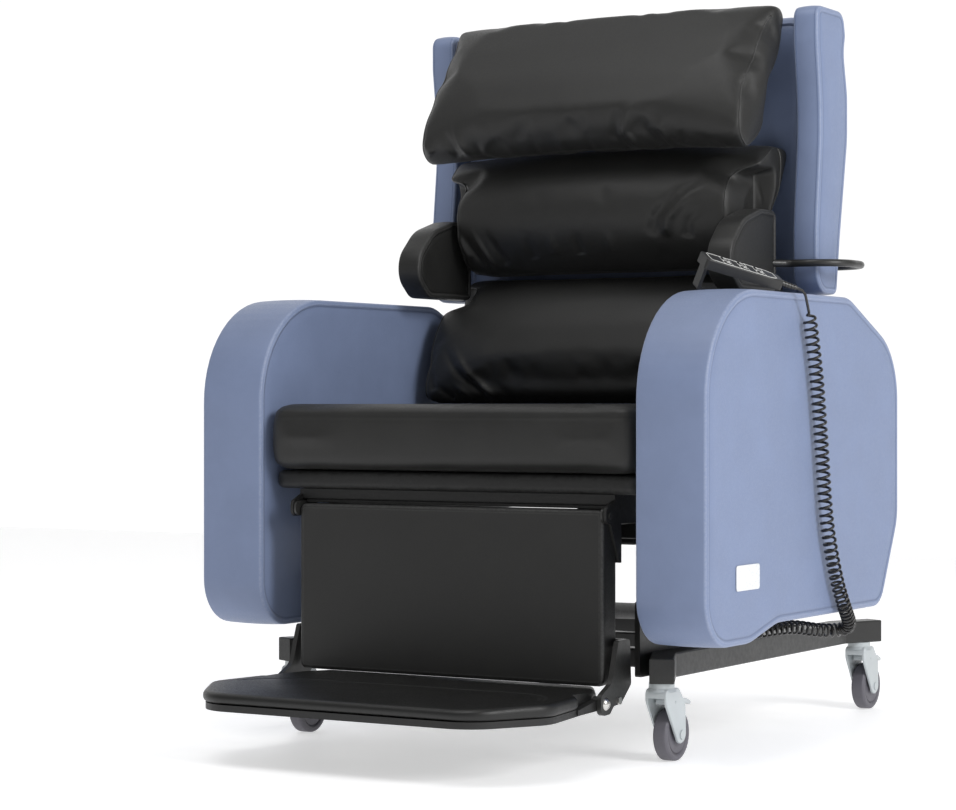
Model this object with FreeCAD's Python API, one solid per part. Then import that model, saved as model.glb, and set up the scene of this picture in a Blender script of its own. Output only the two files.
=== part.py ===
"""Tilting patient recliner chair on four braked castors, one solid per piece.

Millimetres, +Z up, floor at Z = 0, the chair faces -Y and X = 0 is its middle.
Sizes below are measured from the middle of the arm panels; the whole chair is
then moved back by CHAIR_SHIFT_Y, so that the origin is under its middle.
"""
import FreeCAD
import Part
import math
import os

V = FreeCAD.Vector

# ---------------------------------------------------------------- driving sizes
CHAIR_SHIFT_Y = 30.0

RAIL_SIZE, RAIL_WALL = 38.0, 2.5          # square tube of the base
RAIL_BOTTOM, RAIL_TOP = 120.0, 158.0
RAIL_X = 299.0                            # middle of the straight stretch
POST_INNER_X = 271.0                      # inner faces of the tilt posts
RAIL_PLAN = [(343.8, -289.5), (RAIL_X, -195.0), (RAIL_X, 468.5), (336.0, 543.8)]

WHEEL_R, WHEEL_W, TYRE_INNER_R = 40.0, 24.0, 29.0
AXLE_R, AXLE_PLAY = 4.0, 0.05
CASTOR_TRAIL = 31.0                       # from the stem to the axle
CASTOR_STEMS = {"front_left": (-334.0, -271.0), "front_right": (334.0, -271.0),
                "rear_left": (-321.0, 514.0), "rear_right": (321.0, 514.0)}
PEDAL_PIVOT = (10.0, 91.0)

TILT_PIVOT = (-20.0, 285.0)               # Y, Z of the axes across the chair
BACK_PIVOT = (245.0, 455.0)
LEG_PIVOT = (-345.0, 372.0)
FOOT_PIVOT = (-370.0, 95.0)
PIN_PLAY = 0.05

ARM_INNER_X, ARM_OUTER_X, ARM_TOP = 337.5, 455.5, 711.0
SEAT_HALF_W, SEAT_TOP, SEAT_BOTTOM = 333.0, 537.0, 436.0
SEAT_RAIL_X, SEAT_RAIL_BOTTOM, SEAT_RAIL_TOP = 232.0, 355.0, 403.0
WING_INNER_X, WING_OUTER_X = 332.0, 376.0
SHELL_FRONT, SHELL_REAR = 262.0, 330.0    # Y of the upholstered back shell

TILT_BASE, TILT_LEVER = (360.0, 170.0), (0.0, 200.0)
BACK_BASE, BACK_LEVER = (0.0, 376.0), (250.0, 370.0)
LEG_BASE, LEG_LEVER = (0.0, 265.0), (-280.0, 335.0)
TILT_X, BACK_X, LEG_X = 0.0, 95.0, -95.0
EYE_R, EYE_PIN_R, EAR_GAP = 11.0, 5.0, 12.0
TUBE_START, LEG_TUBE_START = 17.0, 23.0   # from the ears' pin
FORK_BOTTOM = 24.0                        # back from the lever's pin
LUG_PIN_R = 4.0

HANDSET_PLACE = V(440.3, -88.0, 717.8)    # underside of the cord end
HANDSET_ROLL, HANDSET_PITCH, HANDSET_YAW = 20.5, 14.9, -42.0
HANDSET_L, HANDSET_W, HANDSET_T = 132.0, 45.0, 16.0
HOOK_FAR, HOOK_NEAR = -128.0, -96.0       # ends of the hanging hook along the handset
HOOK_FAR_Z, HOOK_NEAR_Z = -37.5, -28.5
BUTTON_ROWS, BUTTON_START, BUTTON_PITCH = 3, -38.0, 28.0
RELIEF_L, RELIEF_Z = 30.0, 8.0

CORD_R, COIL_R = 2.2, 12.0
LEAD_ROUTE = [V(463.1, -66.9, 717.3), V(471.5, -58.3, 714.2), V(471.5, -49.5, 699.5),
              V(469.5, -36.0, 681.0)]
COIL_ROUTE = [V(469.5, -36.0, 681.0), V(469.5, -19.0, 628.0), V(469.7, -5.0, 573.0),
              V(469.5, 5.0, 517.0), V(469.8, 14.5, 460.0), V(469.5, 22.5, 405.0),
              V(469.6, 33.0, 350.0), V(469.5, 52.0, 300.0), V(469.4, 77.0, 250.0),
              V(469.5, 105.0, 211.0), V(466.0, 138.0, 180.0), V(438.0, 143.0, 172.5),
              V(419.0, 105.0, 175.0), V(404.0, 62.0, 183.0), V(390.0, 20.0, 183.0),
              V(377.0, -22.0, 180.0), V(364.0, -60.0, 184.0)]
BOX_ROUTE = [V(364.0, -60.0, 184.0), V(352.0, -93.0, 189.0), V(326.0, -108.0, 202.0),
             V(303.0, -106.0, 240.0), V(303.0, -100.0, 285.0), V(290.0, -100.0, 322.0),
             V(258.0, -100.0, 338.0), V(225.0, -100.0, 338.0)]


# ------------------------------------------------------------------- primitives
def box(x, y, z):
    """A block between pairs of limits."""
    return Part.makeBox(x[1] - x[0], y[1] - y[0], z[1] - z[0], V(x[0], y[0], z[0]))


def rod_x(centre, radius, x0, x1):
    """A round bar along X at (Y, Z) = centre."""
    return Part.makeCylinder(radius, x1 - x0, V(x0, centre[0], centre[1]), V(1, 0, 0))


def both_sides(shape):
    """The shape and its mirror image in X = 0, as two solids."""
    return Part.makeCompound([shape, mirrored(shape)])


def mirrored(shape):
    """The mirror image in the middle plane."""
    return shape.mirror(V(0, 0, 0), V(1, 0, 0))


def path_edges(points, radii, closed=False):
    """Straight runs through the points, joined by tangent arcs at the corners."""
    count = len(points)
    starts, ends, arcs = [], [], []
    for i, corner in enumerate(points):
        if (not closed and i in (0, count - 1)) or radii[i] <= 0:
            starts.append(corner)
            ends.append(corner)
            arcs.append(None)
            continue
        before = (corner - points[i - 1]).normalize()
        after = (points[(i + 1) % count] - corner).normalize()
        half_turn = before.getAngle(after) / 2
        reach = radii[i] * math.tan(half_turn)
        inward = (after - before).normalize()
        start, end = corner - before * reach, corner + after * reach
        middle = corner + inward * (radii[i] / math.cos(half_turn) - radii[i])
        starts.append(start)
        ends.append(end)
        arcs.append(Part.Arc(start, middle, end).toShape())
    edges = []
    for i in range(count if closed else count - 1):
        if arcs[i] is not None:
            edges.append(arcs[i])
        nxt = (i + 1) % count
        if (starts[nxt] - ends[i]).Length > 1e-4:
            edges.append(Part.LineSegment(ends[i], starts[nxt]).toShape())
    return edges


def profile_x(outline, x0, x1):
    """Extrude along X an outline of (Y, Z, corner radius)."""
    points = [V(x0, y, z) for y, z, _ in outline]
    wire = Part.Wire(path_edges(points, [c[2] for c in outline], closed=True))
    return Part.Face(wire).extrude(V(x1 - x0, 0, 0))


def profile_z(outline, z0, z1):
    """Extrude upwards an outline of (X, Y, corner radius)."""
    points = [V(x, y, z0) for x, y, _ in outline]
    wire = Part.Wire(path_edges(points, [c[2] for c in outline], closed=True))
    return Part.Face(wire).extrude(V(0, 0, z1 - z0))


def swept_round(points, radii, radius):
    """A round bar along runs and arcs."""
    wire = Part.Wire(path_edges(points, radii))
    first = (points[1] - points[0]).normalize()
    ring = Part.Wire(Part.Circle(points[0], first, radius).toShape())
    return wire.makePipeShell([ring], True, False)


def eased(shape, radius, keep=lambda edge: True):
    """Round the chosen edges, or hand the shape back if one can't be rounded."""
    chosen = [edge for edge in shape.Edges if keep(edge)]
    try:
        rounded = shape.makeFillet(radius, chosen)
        return rounded if rounded.isValid() else shape
    except Part.OCCError:
        return shape


def end_face_edges(x_limits):
    """A test for edges that lie in one of the planes X = limit."""
    def test(edge):
        return any(abs(edge.BoundBox.XMin - x) < 1e-3 and abs(edge.BoundBox.XMax - x) < 1e-3
                   for x in x_limits)
    return test


# ------------------------------------------------------------------------- base
def ribbon(plan, half):
    """The outline of a bent bar seen from above, mitred at its bends."""
    left, right = [], []
    for i, here in enumerate(plan):
        before = plan[max(i - 1, 0)]
        after = plan[min(i + 1, len(plan) - 1)]
        ways = []
        for start, end in ((before, here), (here, after)):
            if start != end:
                length = math.hypot(end[0] - start[0], end[1] - start[1])
                ways.append(((end[0] - start[0]) / length, (end[1] - start[1]) / length))
        way_x = sum(w[0] for w in ways) / len(ways)
        way_y = sum(w[1] for w in ways) / len(ways)
        stretch = half / (way_x ** 2 + way_y ** 2)
        left.append((here[0] - way_y * stretch, here[1] + way_x * stretch, 0))
        right.append((here[0] + way_y * stretch, here[1] - way_x * stretch, 0))
    return left + right[::-1]


def base_rail():
    """Right-hand square tube of the base, its two ends splayed outwards."""
    solid = profile_z(ribbon(RAIL_PLAN, RAIL_SIZE / 2), RAIL_BOTTOM, RAIL_TOP)
    solid = eased(solid, 3.0, lambda e: e.BoundBox.ZLength < 1e-3 and e.Length > 60)
    half = RAIL_SIZE / 2 - RAIL_WALL
    hollow = profile_z(ribbon(RAIL_PLAN, half), RAIL_BOTTOM + RAIL_WALL, RAIL_TOP - RAIL_WALL)
    return solid.cut(hollow)


def rail_end_caps():
    """Four square plugs in the open ends of the rails."""
    caps = []
    for end, inner in ((RAIL_PLAN[0], RAIL_PLAN[1]), (RAIL_PLAN[3], RAIL_PLAN[2])):
        angle = math.degrees(math.atan2(end[1] - inner[1], end[0] - inner[0]))
        plate = box((0, 2.5), (-18.5, 18.5), (RAIL_BOTTOM + 0.5, RAIL_TOP - 0.5))
        half = RAIL_SIZE / 2 - RAIL_WALL
        plug = box((-12, 0), (-half, half), (RAIL_BOTTOM + RAIL_WALL, RAIL_TOP - RAIL_WALL))
        cap = eased(plate, 1.0).fuse(plug)
        cap.rotate(V(0, 0, 0), V(0, 0, 1), angle)
        cap.translate(V(end[0], end[1], 0))
        caps += [cap, mirrored(cap)]
    return Part.makeCompound(caps)


def base_cross_tubes():
    """Three square bars between the rails; the rear one carries the tilt drive's ears."""
    inner = RAIL_X - RAIL_SIZE / 2
    front = box((-POST_INNER_X, POST_INNER_X), (-105, -75), (122, 152))
    middle = box((-inner, inner), (195, 220), (122, 147))
    rear = box((-inner, inner), (385, 415), (122, 156))
    y, z = TILT_BASE
    ear = profile_x([(y - 14, z - 14, 6), (y - 14, z + 14, 13), (y + 14, z + 14, 13),
                     (415, 156, 0), (415, 140, 0), (385, 140, 0)], TILT_X + EAR_GAP, TILT_X + 18)
    ear = ear.cut(rod_x(TILT_BASE, EYE_PIN_R, -40, 40))
    rear = rear.fuse([ear, mirrored(ear)])
    return Part.makeCompound([eased(front, 3.0), eased(middle, 3.0), rear.removeSplitter()])


def tilt_posts():
    """Steel plates on the rails' inner faces, and the pins that the seat tilts on."""
    y, z = TILT_PIVOT
    plate = profile_x([(-238, 122, 4), (-238, 236, 10), (-60, 306, 50), (24, 306, 30),
                       (112, 122, 4)], POST_INNER_X, 280)
    pin = rod_x(TILT_PIVOT, 8.0, 255.5, POST_INNER_X).fuse(rod_x(TILT_PIVOT, 13.0, 280, 285))
    post = plate.fuse(pin)
    return both_sides(post.removeSplitter())


# ---------------------------------------------------------------------- castors
def castor_fork():
    """Crown, two legs and riveted axle of a castor, its stem on the Z axis."""
    body = profile_x([(-20, 112, 8), (23, 112, 12), (45, 86, 20), (47, 32, 15), (24, 24, 14),
                      (-20, 92, 18)], -18, 18)
    body = eased(body, 2.0, end_face_edges((-18, 18)))
    body = body.cut(box((-14, 14), (-40, 80), (0, 98)))
    ring = Part.makeCylinder(19.5, 9, V(0, 0, 111))
    stem_cap = Part.makeCone(23, 19.5, 5, V(0, 0, 108))
    axle = rod_x((CASTOR_TRAIL, WHEEL_R), AXLE_R, -18, 18)
    heads = rod_x((CASTOR_TRAIL, WHEEL_R), 7.0, 17.5, 20)
    body = body.fuse([ring, stem_cap, axle, heads, mirrored(heads)])
    return body.cut(rod_x(PEDAL_PIVOT, 2.0 + PIN_PLAY, -30, 30)).removeSplitter()


def castor_wheel():
    """Rubber tyre on a plastic rim and hub."""
    centre = (CASTOR_TRAIL, WHEEL_R)
    tyre = eased(rod_x(centre, WHEEL_R, -WHEEL_W / 2, WHEEL_W / 2), 5.0)
    tyre = tyre.cut(rod_x(centre, TYRE_INNER_R, -20, 20))
    hub = rod_x(centre, TYRE_INNER_R, -11, 11)
    for side in (-1, 1):
        groove = rod_x(centre, 26, *sorted((side * 8.5, side * 12)))
        hub = hub.cut(groove.cut(rod_x(centre, 19, -13, 13)))
    hub = hub.fuse(rod_x(centre, 8.5, -13.5, 13.5))
    hub = hub.cut(rod_x(centre, AXLE_R + AXLE_PLAY, -20, 20))
    return Part.makeCompound([tyre, hub.removeSplitter()])


def castor_brake():
    """Pointed pedal that turns on a pin through the fork."""
    lever = profile_x([(3, 96, 3), (30, 95, 10), (62, 92, 10), (86, 85, 1.5), (84, 80, 1.5),
                       (60, 85, 10), (30, 87, 10), (3, 86, 3)], -12, 12)
    plan = profile_z([(-12, 0, 0), (-12, 50, 10), (-5, 90, 3), (5, 90, 3), (12, 50, 10),
                      (12, 0, 0)], 70, 100)
    return lever.common(plan).fuse(rod_x(PEDAL_PIVOT, 2.0, -17.5, 17.5)).removeSplitter()


# -------------------------------------------------------------------- seat unit
def seat_rails():
    """Two deep tubes under the seat with the tilt hangers and back hinge lugs welded on."""
    x = SEAT_RAIL_X
    rail = eased(box((x, x + 25), (-294, 268), (SEAT_RAIL_BOTTOM, SEAT_RAIL_TOP)), 3.0)
    hanger = profile_x([(-78, 400, 4), (38, 400, 4), (8, 262, 26), (-48, 262, 26)], 257, 266)
    hanger = hanger.cut(rod_x(TILT_PIVOT, 8.0 + PIN_PLAY, 250, 270))
    lug = profile_x([(225, 380, 4), (225, 480, 18), (265, 480, 18), (265, 380, 4)], 246, 257)
    rail = rail.fuse([hanger, lug]).cut(rod_x(BACK_PIVOT, 6.0 + PIN_PLAY, 240, 260))
    return both_sides(rail.removeSplitter())


def drive_ears(x, base, z_weld):
    """A pair of drilled ears that hang or stand on the middle cross tube."""
    y, z = base
    reach = 14 if z > z_weld else -14
    plate = profile_x([(-13, z_weld, 0), (-13, z + reach, 12), (13, z + reach, 12),
                       (13, z_weld, 0)], x + EAR_GAP, x + EAR_GAP + 6)
    other = plate.copy()
    other.translate(V(-2 * EAR_GAP - 6, 0, 0))
    hole = rod_x(base, EYE_PIN_R, x - 30, x + 30)
    return [plate.cut(hole), other.cut(hole)]


def seat_cross_tubes():
    """Three bars under the rails; the outer two carry the arms, the middle one the drives."""
    bars = []
    for y in (-192, 140):
        bars.append(eased(box((-ARM_INNER_X, ARM_INNER_X), (y, y + 25), (330, 355)), 3.0))
    middle = box((-257, 257), (-13, 13), (330, 355))
    lever = profile_x([(-18, 340, 0), (18, 340, 0), (12, 187, 11), (-12, 187, 11)], -4, 4)
    ears = drive_ears(LEG_X, LEG_BASE, 332) + drive_ears(BACK_X, BACK_BASE, 353)
    middle = middle.fuse([lever] + ears).removeSplitter()
    return Part.makeCompound(bars + [middle])


def seat_pan():
    """Upholstered board under the cushion."""
    board = box((-330, 330), (-340, 185), (403, 433))
    return eased(board, 11.0, lambda e: e.BoundBox.YMax < -339)


def seat_front_bar():
    """Slim board under the pan that carries the leg-rest lugs."""
    bar = eased(box((-286, 286), (-330, -300), (385, 403)), 5.0,
                lambda e: e.Length > 100 and e.BoundBox.ZMin < 386)
    lug = profile_x([(-357, 360, 10), (-357, 384, 10), (-322, 398, 3), (-302, 398, 3),
                     (-302, 388, 3), (-331, 360, 10)], 281, 286)
    lug = lug.cut(rod_x(LEG_PIVOT, 5.0 + PIN_PLAY, 270, 290))
    lip = box((-274, 274), (-328, -302), (381.5, 386))
    return bar.fuse([lip, lug, mirrored(lug)]).removeSplitter()


def seat_cushion():
    """Box cushion."""
    block = box((-SEAT_HALF_W, SEAT_HALF_W), (-360, 185), (SEAT_BOTTOM, SEAT_TOP))
    return eased(block, 14.0)


def arm_panel():
    """Right-hand padded side: large front corners, sloped rear shoulder, stepped foot."""
    outline = [(-366, 180, 130), (-366, ARM_TOP, 170), (160, ARM_TOP, 90), (366, 624, 118),
               (366, 345, 90), (292, 204, 45), (-115, 204, 120), (-215, 180, 120)]
    panel = profile_x(outline, ARM_INNER_X, ARM_OUTER_X)
    return eased(panel, 5.0, end_face_edges((ARM_INNER_X, ARM_OUTER_X)))


def maker_plate():
    """Small blank plate on the outside of the right-hand arm."""
    plate = box((ARM_OUTER_X, ARM_OUTER_X + 1.2), (-268, -188), (261, 299))
    return eased(plate, 5.0, lambda e: abs(e.Length - 1.2) < 1e-3)


def control_box():
    """Housing of the drives' electronics, under the seat board."""
    return eased(box((120, 225), (-150, -35), (318, 400)), 5.0)


# ---------------------------------------------------------------------- handset
def on_handset(shape):
    """Move a shape from the handset's own axes to its place on the arm."""
    shape.rotate(V(0, 0, 0), V(0, 1, 0), HANDSET_ROLL)
    shape.rotate(V(0, 0, 0), V(1, 0, 0), -HANDSET_PITCH)
    shape.rotate(V(0, 0, 0), V(0, 0, 1), HANDSET_YAW)
    shape.translate(HANDSET_PLACE)
    return shape


def button_centres():
    """Key places in the handset's own axes, two columns."""
    rows = [BUTTON_START - BUTTON_PITCH * row for row in range(BUTTON_ROWS)]
    return [(x, y) for y in rows for x in (-10.5, 10.5)]


def handset_body():
    """Tapered case, its hanging hook below and a pocket for every key."""
    half, taper = HANDSET_W / 2, 6.0
    case = profile_z([(-half + taper, 0, 5), (half - taper, 0, 5), (half, -22, 25),
                      (half, -HANDSET_L, 5), (-half, -HANDSET_L, 5), (-half, -22, 25)],
                     0, HANDSET_T)
    case = eased(case, 2.0, lambda e: e.BoundBox.ZMin > HANDSET_T - 0.01)
    hook = profile_x([(HOOK_FAR, 1, 0), (HOOK_FAR, HOOK_FAR_Z, 3), (HOOK_NEAR, HOOK_NEAR_Z, 1.5),
                      (HOOK_NEAR, HOOK_NEAR_Z + 4, 1.5), (HOOK_FAR + 5, HOOK_FAR_Z + 5.5, 3),
                      (HOOK_FAR + 5, 1, 0)], -13, 13)
    case = case.fuse(hook)
    for x, y in button_centres():
        case = case.cut(box((x - 7.6, x + 7.6), (y - 5.6, y + 5.6), (HANDSET_T - 3, 30)))
    return on_handset(case.removeSplitter())


def handset_button(x, y):
    """One key, standing 1.2 mm out of its pocket."""
    key = box((x - 7.3, x + 7.3), (y - 5.3, y + 5.3), (HANDSET_T - 2.2, HANDSET_T + 1.2))
    return on_handset(eased(key, 1.0, lambda e: e.BoundBox.ZMin > HANDSET_T))


def handset_relief():
    """Ribbed sleeve where the cord leaves the handset."""
    along = V(0, 1, 0)
    sleeve = Part.makeCone(5.0, 3.2, RELIEF_L, V(0, 0, RELIEF_Z), along)
    ribs = [Part.makeCylinder(5.4 - 0.35 * i, 2.2, V(0, 4.0 + 5.2 * i, RELIEF_Z), along)
            for i in range(5)]
    return on_handset(sleeve.fuse(ribs).removeSplitter())


# ------------------------------------------------------------------------- cord
def cord_radii(route, name):
    """The largest arc that each corner's runs allow, printed for a look."""
    radii = [0.0]
    for before, here, after in zip(route, route[1:], route[2:]):
        run_in, run_out = here - before, after - here
        half_turn = run_in.getAngle(run_out) / 2
        radii.append(0.45 * min(run_in.Length, run_out.Length) / math.tan(half_turn))
    print(name, "arc radii:", [round(r, 1) for r in radii[1:]])
    return radii + [0.0]


def cord_tube(route, radius, name):
    """A stretch of cord; a curly stretch is one tube of its outer size."""
    radii = cord_radii(route, name)
    tube = swept_round(route, radii, radius)
    length = sum(edge.Length for edge in path_edges(route, radii))
    section = math.pi * radius ** 2
    print(name, "length", round(length), "volume ratio", round(tube.Volume / (section * length), 4))
    return tube


# --------------------------------------------------------------------- backrest
def back_shell():
    """Upholstered back with slots for the frame's stiles and the push bar."""
    shell = box((-330, 330), (SHELL_FRONT, SHELL_REAR), (505, 1190))
    shell = eased(shell, 10.0, lambda e: e.BoundBox.ZMin > 1189 or e.BoundBox.ZMax < 506)
    slot = box((257.5, 283.5), (284.5, 315.5), (490, 1030))
    exit_hole = Part.makeCylinder(13.5, 60, V(270.5, 290, 1000), V(0, 1, 0))
    return shell.cut([slot, mirrored(slot), exit_hole, mirrored(exit_hole)])


def back_frame():
    """Stiles with hinge plates and pins, a lower bar with the drive's lever."""
    y, z = BACK_PIVOT
    stile = box((258, 283), (285, 315), (480, 1029))
    plate = profile_x([(y - 17, z - 17, 16), (y + 17, z - 17, 16), (315, 486, 10), (315, 503, 0),
                       (270, 503, 10), (y - 17, 480, 16)], 258, 266)
    pin = rod_x(BACK_PIVOT, 6.0, 246, 258.5)
    side = stile.fuse([plate, pin])
    bar = box((-258, 258), (288, 312), (478, 502))
    y, z = BACK_LEVER
    lever = profile_x([(y - 10, z - 10, 9), (y + 10, z - 10, 9), (312, 490, 0), (312, 500, 0),
                       (288, 500, 0), (y - 10, z + 20, 30)], BACK_X - 4, BACK_X + 4)
    return side.fuse([mirrored(side), bar, lever]).removeSplitter()


def push_bar():
    """Bent tube behind the shell, for the person who moves the chair."""
    points = [V(-270.5, 315.2, 1000), V(-270.5, 405, 1000), V(270.5, 405, 1000),
              V(270.5, 315.2, 1000)]
    return swept_round(points, [0, 45, 45, 0], 12.5)


def wing():
    """Right-hand head wing: a padded upright with a hollowed front edge."""
    points = [V(0, 222, 1199), V(0, 209, 1186), V(0, 209, 1150), V(0, 225, 1010), V(0, 206, 815),
              V(0, 210, 765), V(0, 253, 722), V(0, 290, 722), V(0, 294, 730), V(0, 304, 815),
              V(0, 336, 1000), V(0, 334, 1060), V(0, 321, 1130), V(0, 324, 1166),
              V(0, 298, 1199)]
    line = Part.LineSegment
    edges = [Part.Arc(points[0], V(0, 212.8, 1195.2), points[1]),
             line(points[1], points[2]),
             Part.Arc(points[2], V(0, 221, 1080), points[3]),
             Part.Arc(points[3], V(0, 221, 920), points[4]),
             line(points[4], points[5]),
             Part.Arc(points[5], V(0, 224, 733), points[6]),
             line(points[6], points[7]),
             line(points[7], points[8]),
             line(points[8], points[9]),
             Part.Arc(points[9], V(0, 325, 910), points[10]),
             Part.Arc(points[10], V(0, 336.5, 1030), points[11]),
             Part.Arc(points[11], V(0, 326, 1100), points[12]),
             line(points[12], points[13]),
             Part.Arc(points[13], V(0, 317, 1190), points[14]),
             line(points[14], points[0])]
    face = Part.Face(Part.Wire([edge.toShape() for edge in edges]))
    solid = face.extrude(V(WING_OUTER_X - WING_INNER_X, 0, 0))
    solid.translate(V(WING_INNER_X, 0, 0))
    return eased(solid, 4.0, end_face_edges((WING_INNER_X, WING_OUTER_X)))


def back_cushion(outline, half_width, pad_room=False):
    """One waterfall cushion, cut away beside the lateral pads where asked."""
    solid = profile_x(outline, -half_width, half_width)
    if pad_room:
        gap = box((268, 340), (-20, 199.5), (700, 945))
        solid = solid.cut([gap, mirrored(gap)])
    return solid


HEAD_OUTLINE = [(196, 1210, 14), (60, 1035, 90), (60, 950, 20), (110, 950, 15),
                (226, 1150, 60), (226, 1210, 14)]
MIDDLE_OUTLINE = [(150, 945, 30), (118, 890, 60), (118, 768, 30), (258, 768, 8),
                  (258, 975, 12), (190, 975, 14)]
LUMBAR_OUTLINE = [(150, 764, 40), (66, 640, 90), (58, 541, 16), (258, 541, 8), (258, 764, 8)]


# -------------------------------------------------------------- lateral support
def lateral_pad():
    """Right-hand D-shaped pad beside the sitter's chest."""
    low, high = 722.0, 857.0
    points = [V(0, 178, low), V(0, 178, high), V(0, 2, 780), V(0, 50, low)]
    edges = [Part.LineSegment(points[0], points[1]),
             Part.Arc(points[1], V(0, 58, 838), points[2]),
             Part.Arc(points[2], V(0, 12, 736), points[3]),
             Part.LineSegment(points[3], points[0])]
    face = Part.Face(Part.Wire([edge.toShape() for edge in edges]))
    solid = face.extrude(V(44, 0, 0))
    solid.translate(V(273, 0, 0))
    return eased(solid, 4.0, end_face_edges((273, 317)))


def lateral_hoop():
    """Bent bar that carries the pad round the front and back of the wing."""
    z = 771.0
    points = [V(305, 158, z), V(332, 190, z), V(421, 190, z), V(421, 334, z), V(338, 334, z)]
    hoop = swept_round(points, [0, 20, 62, 62, 0], 6.2)
    return hoop.cut(lateral_pad())


# --------------------------------------------------------------------- leg rest
def legrest_pad():
    """Padded calf board, its lower rear edge well rounded."""
    pad = profile_x([(-347, 116, 6), (-347, 380, 10), (-303, 380, 8), (-303, 116, 36)], -275, 275)
    return eased(pad, 7.0, lambda e: e.BoundBox.XLength < 1 and e.BoundBox.YMax < -346)


def legrest_frame():
    """Steel plate behind the pad with its hinge flanges, foot tabs and drive lug."""
    plate = box((-279.5, 279.5), (-303, -297), (300, 372)).fuse(
        box((-240, 240), (-303, -297), (175, 310)))
    flange = profile_x([(-357, 361, 10), (-357, 384, 10), (-297, 384, 4), (-297, 300, 4),
                        (-303, 300, 1), (-332, 361, 10)], 275.5, 279.5)
    pin = rod_x(LEG_PIVOT, 5.0, 279, 288)
    tab = box((230, 285), (-303, -297), (175, 186))
    y, z = LEG_LEVER
    lug = profile_x([(-297, z - 26, 0), (-297, z + 26, 0), (y + 8, z + 9, 8),
                     (y + 8, z - 9, 8)], LEG_X - 4, LEG_X + 4)
    lug = lug.fuse(rod_x(LEG_LEVER, LUG_PIN_R, LEG_X - 12, LEG_X + 12))
    parts = [flange, mirrored(flange), pin, mirrored(pin), tab, mirrored(tab), lug]
    return plate.fuse(parts).removeSplitter()


def footplate_brackets():
    """Black side plates that the footplate hinges on."""
    plate = profile_x([(-331, 186, 6), (-295, 186, 6), (-291, 118, 8), (-323, 91.5, 8),
                       (-346, 89.8, 6), (-358, 79, 8), (-386, 78, 12), (-386, 108, 12),
                       (-352, 124, 20)], 285, 293)
    hole = rod_x(FOOT_PIVOT, 5.0, 280, 300)
    small = rod_x((-331, 96.5), 3.0, 280, 300)
    return both_sides(plate.cut([hole, small]))


def footplate_bolts():
    """Domed pivot bolts and the smaller locking bolts beside them."""
    bolt = rod_x(FOOT_PIVOT, 5.0, 273, 293)
    head = Part.makeSphere(11.0, V(287.5, FOOT_PIVOT[0], FOOT_PIVOT[1]))
    head = head.common(box((293, 300), (-400, -340), (60, 130)))
    lock = rod_x((-331, 96.5), 3.0, 285, 293).fuse(rod_x((-331, 96.5), 5.5, 293, 296))
    pivot = bolt.fuse(head)
    return Part.makeCompound([pivot, mirrored(pivot), lock, mirrored(lock)])


FOOT_PLAN = [(240, -308, 10), (266, -352, 20), (284, -425, 60), (303, -545, 60),
             (236, -660, 70)]


def footplate_board():
    """Rigid board of the footplate with its two hinge arms."""
    plan = FOOT_PLAN + [(-x, y, r) for x, y, r in FOOT_PLAN[::-1]]
    board = profile_z([(x * 0.985, y + (2 if y < -600 else -1), r) for x, y, r in plan], 83, 93)
    arm = profile_x([(-380, 84, 10), (-380, 106, 10), (-358, 106, 10), (-358, 84, 10)], 273, 284)
    reach = profile_x([(-440, 84, 2), (-440, 92, 2), (-366, 104, 2), (-366, 86, 2)], 273, 284)
    arm = arm.fuse(reach).cut(rod_x(FOOT_PIVOT, 5.0 + PIN_PLAY, 265, 300))
    return board.fuse([arm, mirrored(arm)]).removeSplitter()


def footplate_pad():
    """Padded top of the footplate, clear of the hinge arms."""
    plan = FOOT_PLAN + [(-x, y, r) for x, y, r in FOOT_PLAN[::-1]]
    pad = profile_z(plan, 93, 113)
    pad = eased(pad, 8.0, lambda e: e.BoundBox.ZMin > 112.9)
    room = box((272.5, 320), (-442, -330), (90, 120))
    return pad.cut([room, mirrored(room)])


# ----------------------------------------------------------------------- drives
def drive(base, lever, x, split, start=TUBE_START, retract=0.0, pinned_at_lever=False):
    """A linear drive from its ears to the lever: housing and motor, then rod and fork.

    Both are modelled pointing along -Y from the ears' pin, then turned into place. The
    pin is at the ears, or through the fork where pinned_at_lever is true. The bore leaves
    the rod room to retract.
    """
    reach_y, reach_z = lever[0] - base[0], lever[1] - base[1]
    length = math.hypot(reach_y, reach_z)
    forward, backward = V(0, -1, 0), V(0, 1, 0)
    eye = rod_x((0, 0), EYE_R, -9, 9)
    if not pinned_at_lever:
        eye = eye.fuse(rod_x((0, 0), EYE_PIN_R - PIN_PLAY, -18, 18))
    neck = Part.makeCylinder(8.5, start + 2, V(0, 0, 0), forward)
    tube = Part.makeCylinder(14.0, split - start, V(0, -start, 0), forward)
    motor = Part.makeCylinder(17.0, 46, V(0, -start - 4, 0), forward)
    bore_start = start + 6
    bore = Part.makeCylinder(6.05, split, V(0, -bore_start, 0), forward)
    housing = tube.fuse([eye, neck, motor]).removeSplitter().cut(bore)
    rod_start = bore_start + 2 + retract
    rod = Part.makeCylinder(6.0, length - FORK_BOTTOM - rod_start, V(0, -rod_start, 0), forward)
    fork = Part.makeCylinder(10.5, 44, V(0, -length - 12, 0), backward)
    fork = fork.cut(box((-6.2, 6.2), (-length - 20, -length + 18), (-20, 20)))
    rod = rod.fuse(fork).removeSplitter()
    if pinned_at_lever:
        rod = rod.cut(rod_x((-length, 0), LUG_PIN_R + PIN_PLAY, -20, 20))
    angle = math.degrees(math.atan2(-reach_z, -reach_y))
    for shape in (housing, rod):
        shape.rotate(V(0, 0, 0), V(1, 0, 0), angle)
        shape.translate(V(x, base[0], base[1]))
    return housing, rod


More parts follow.
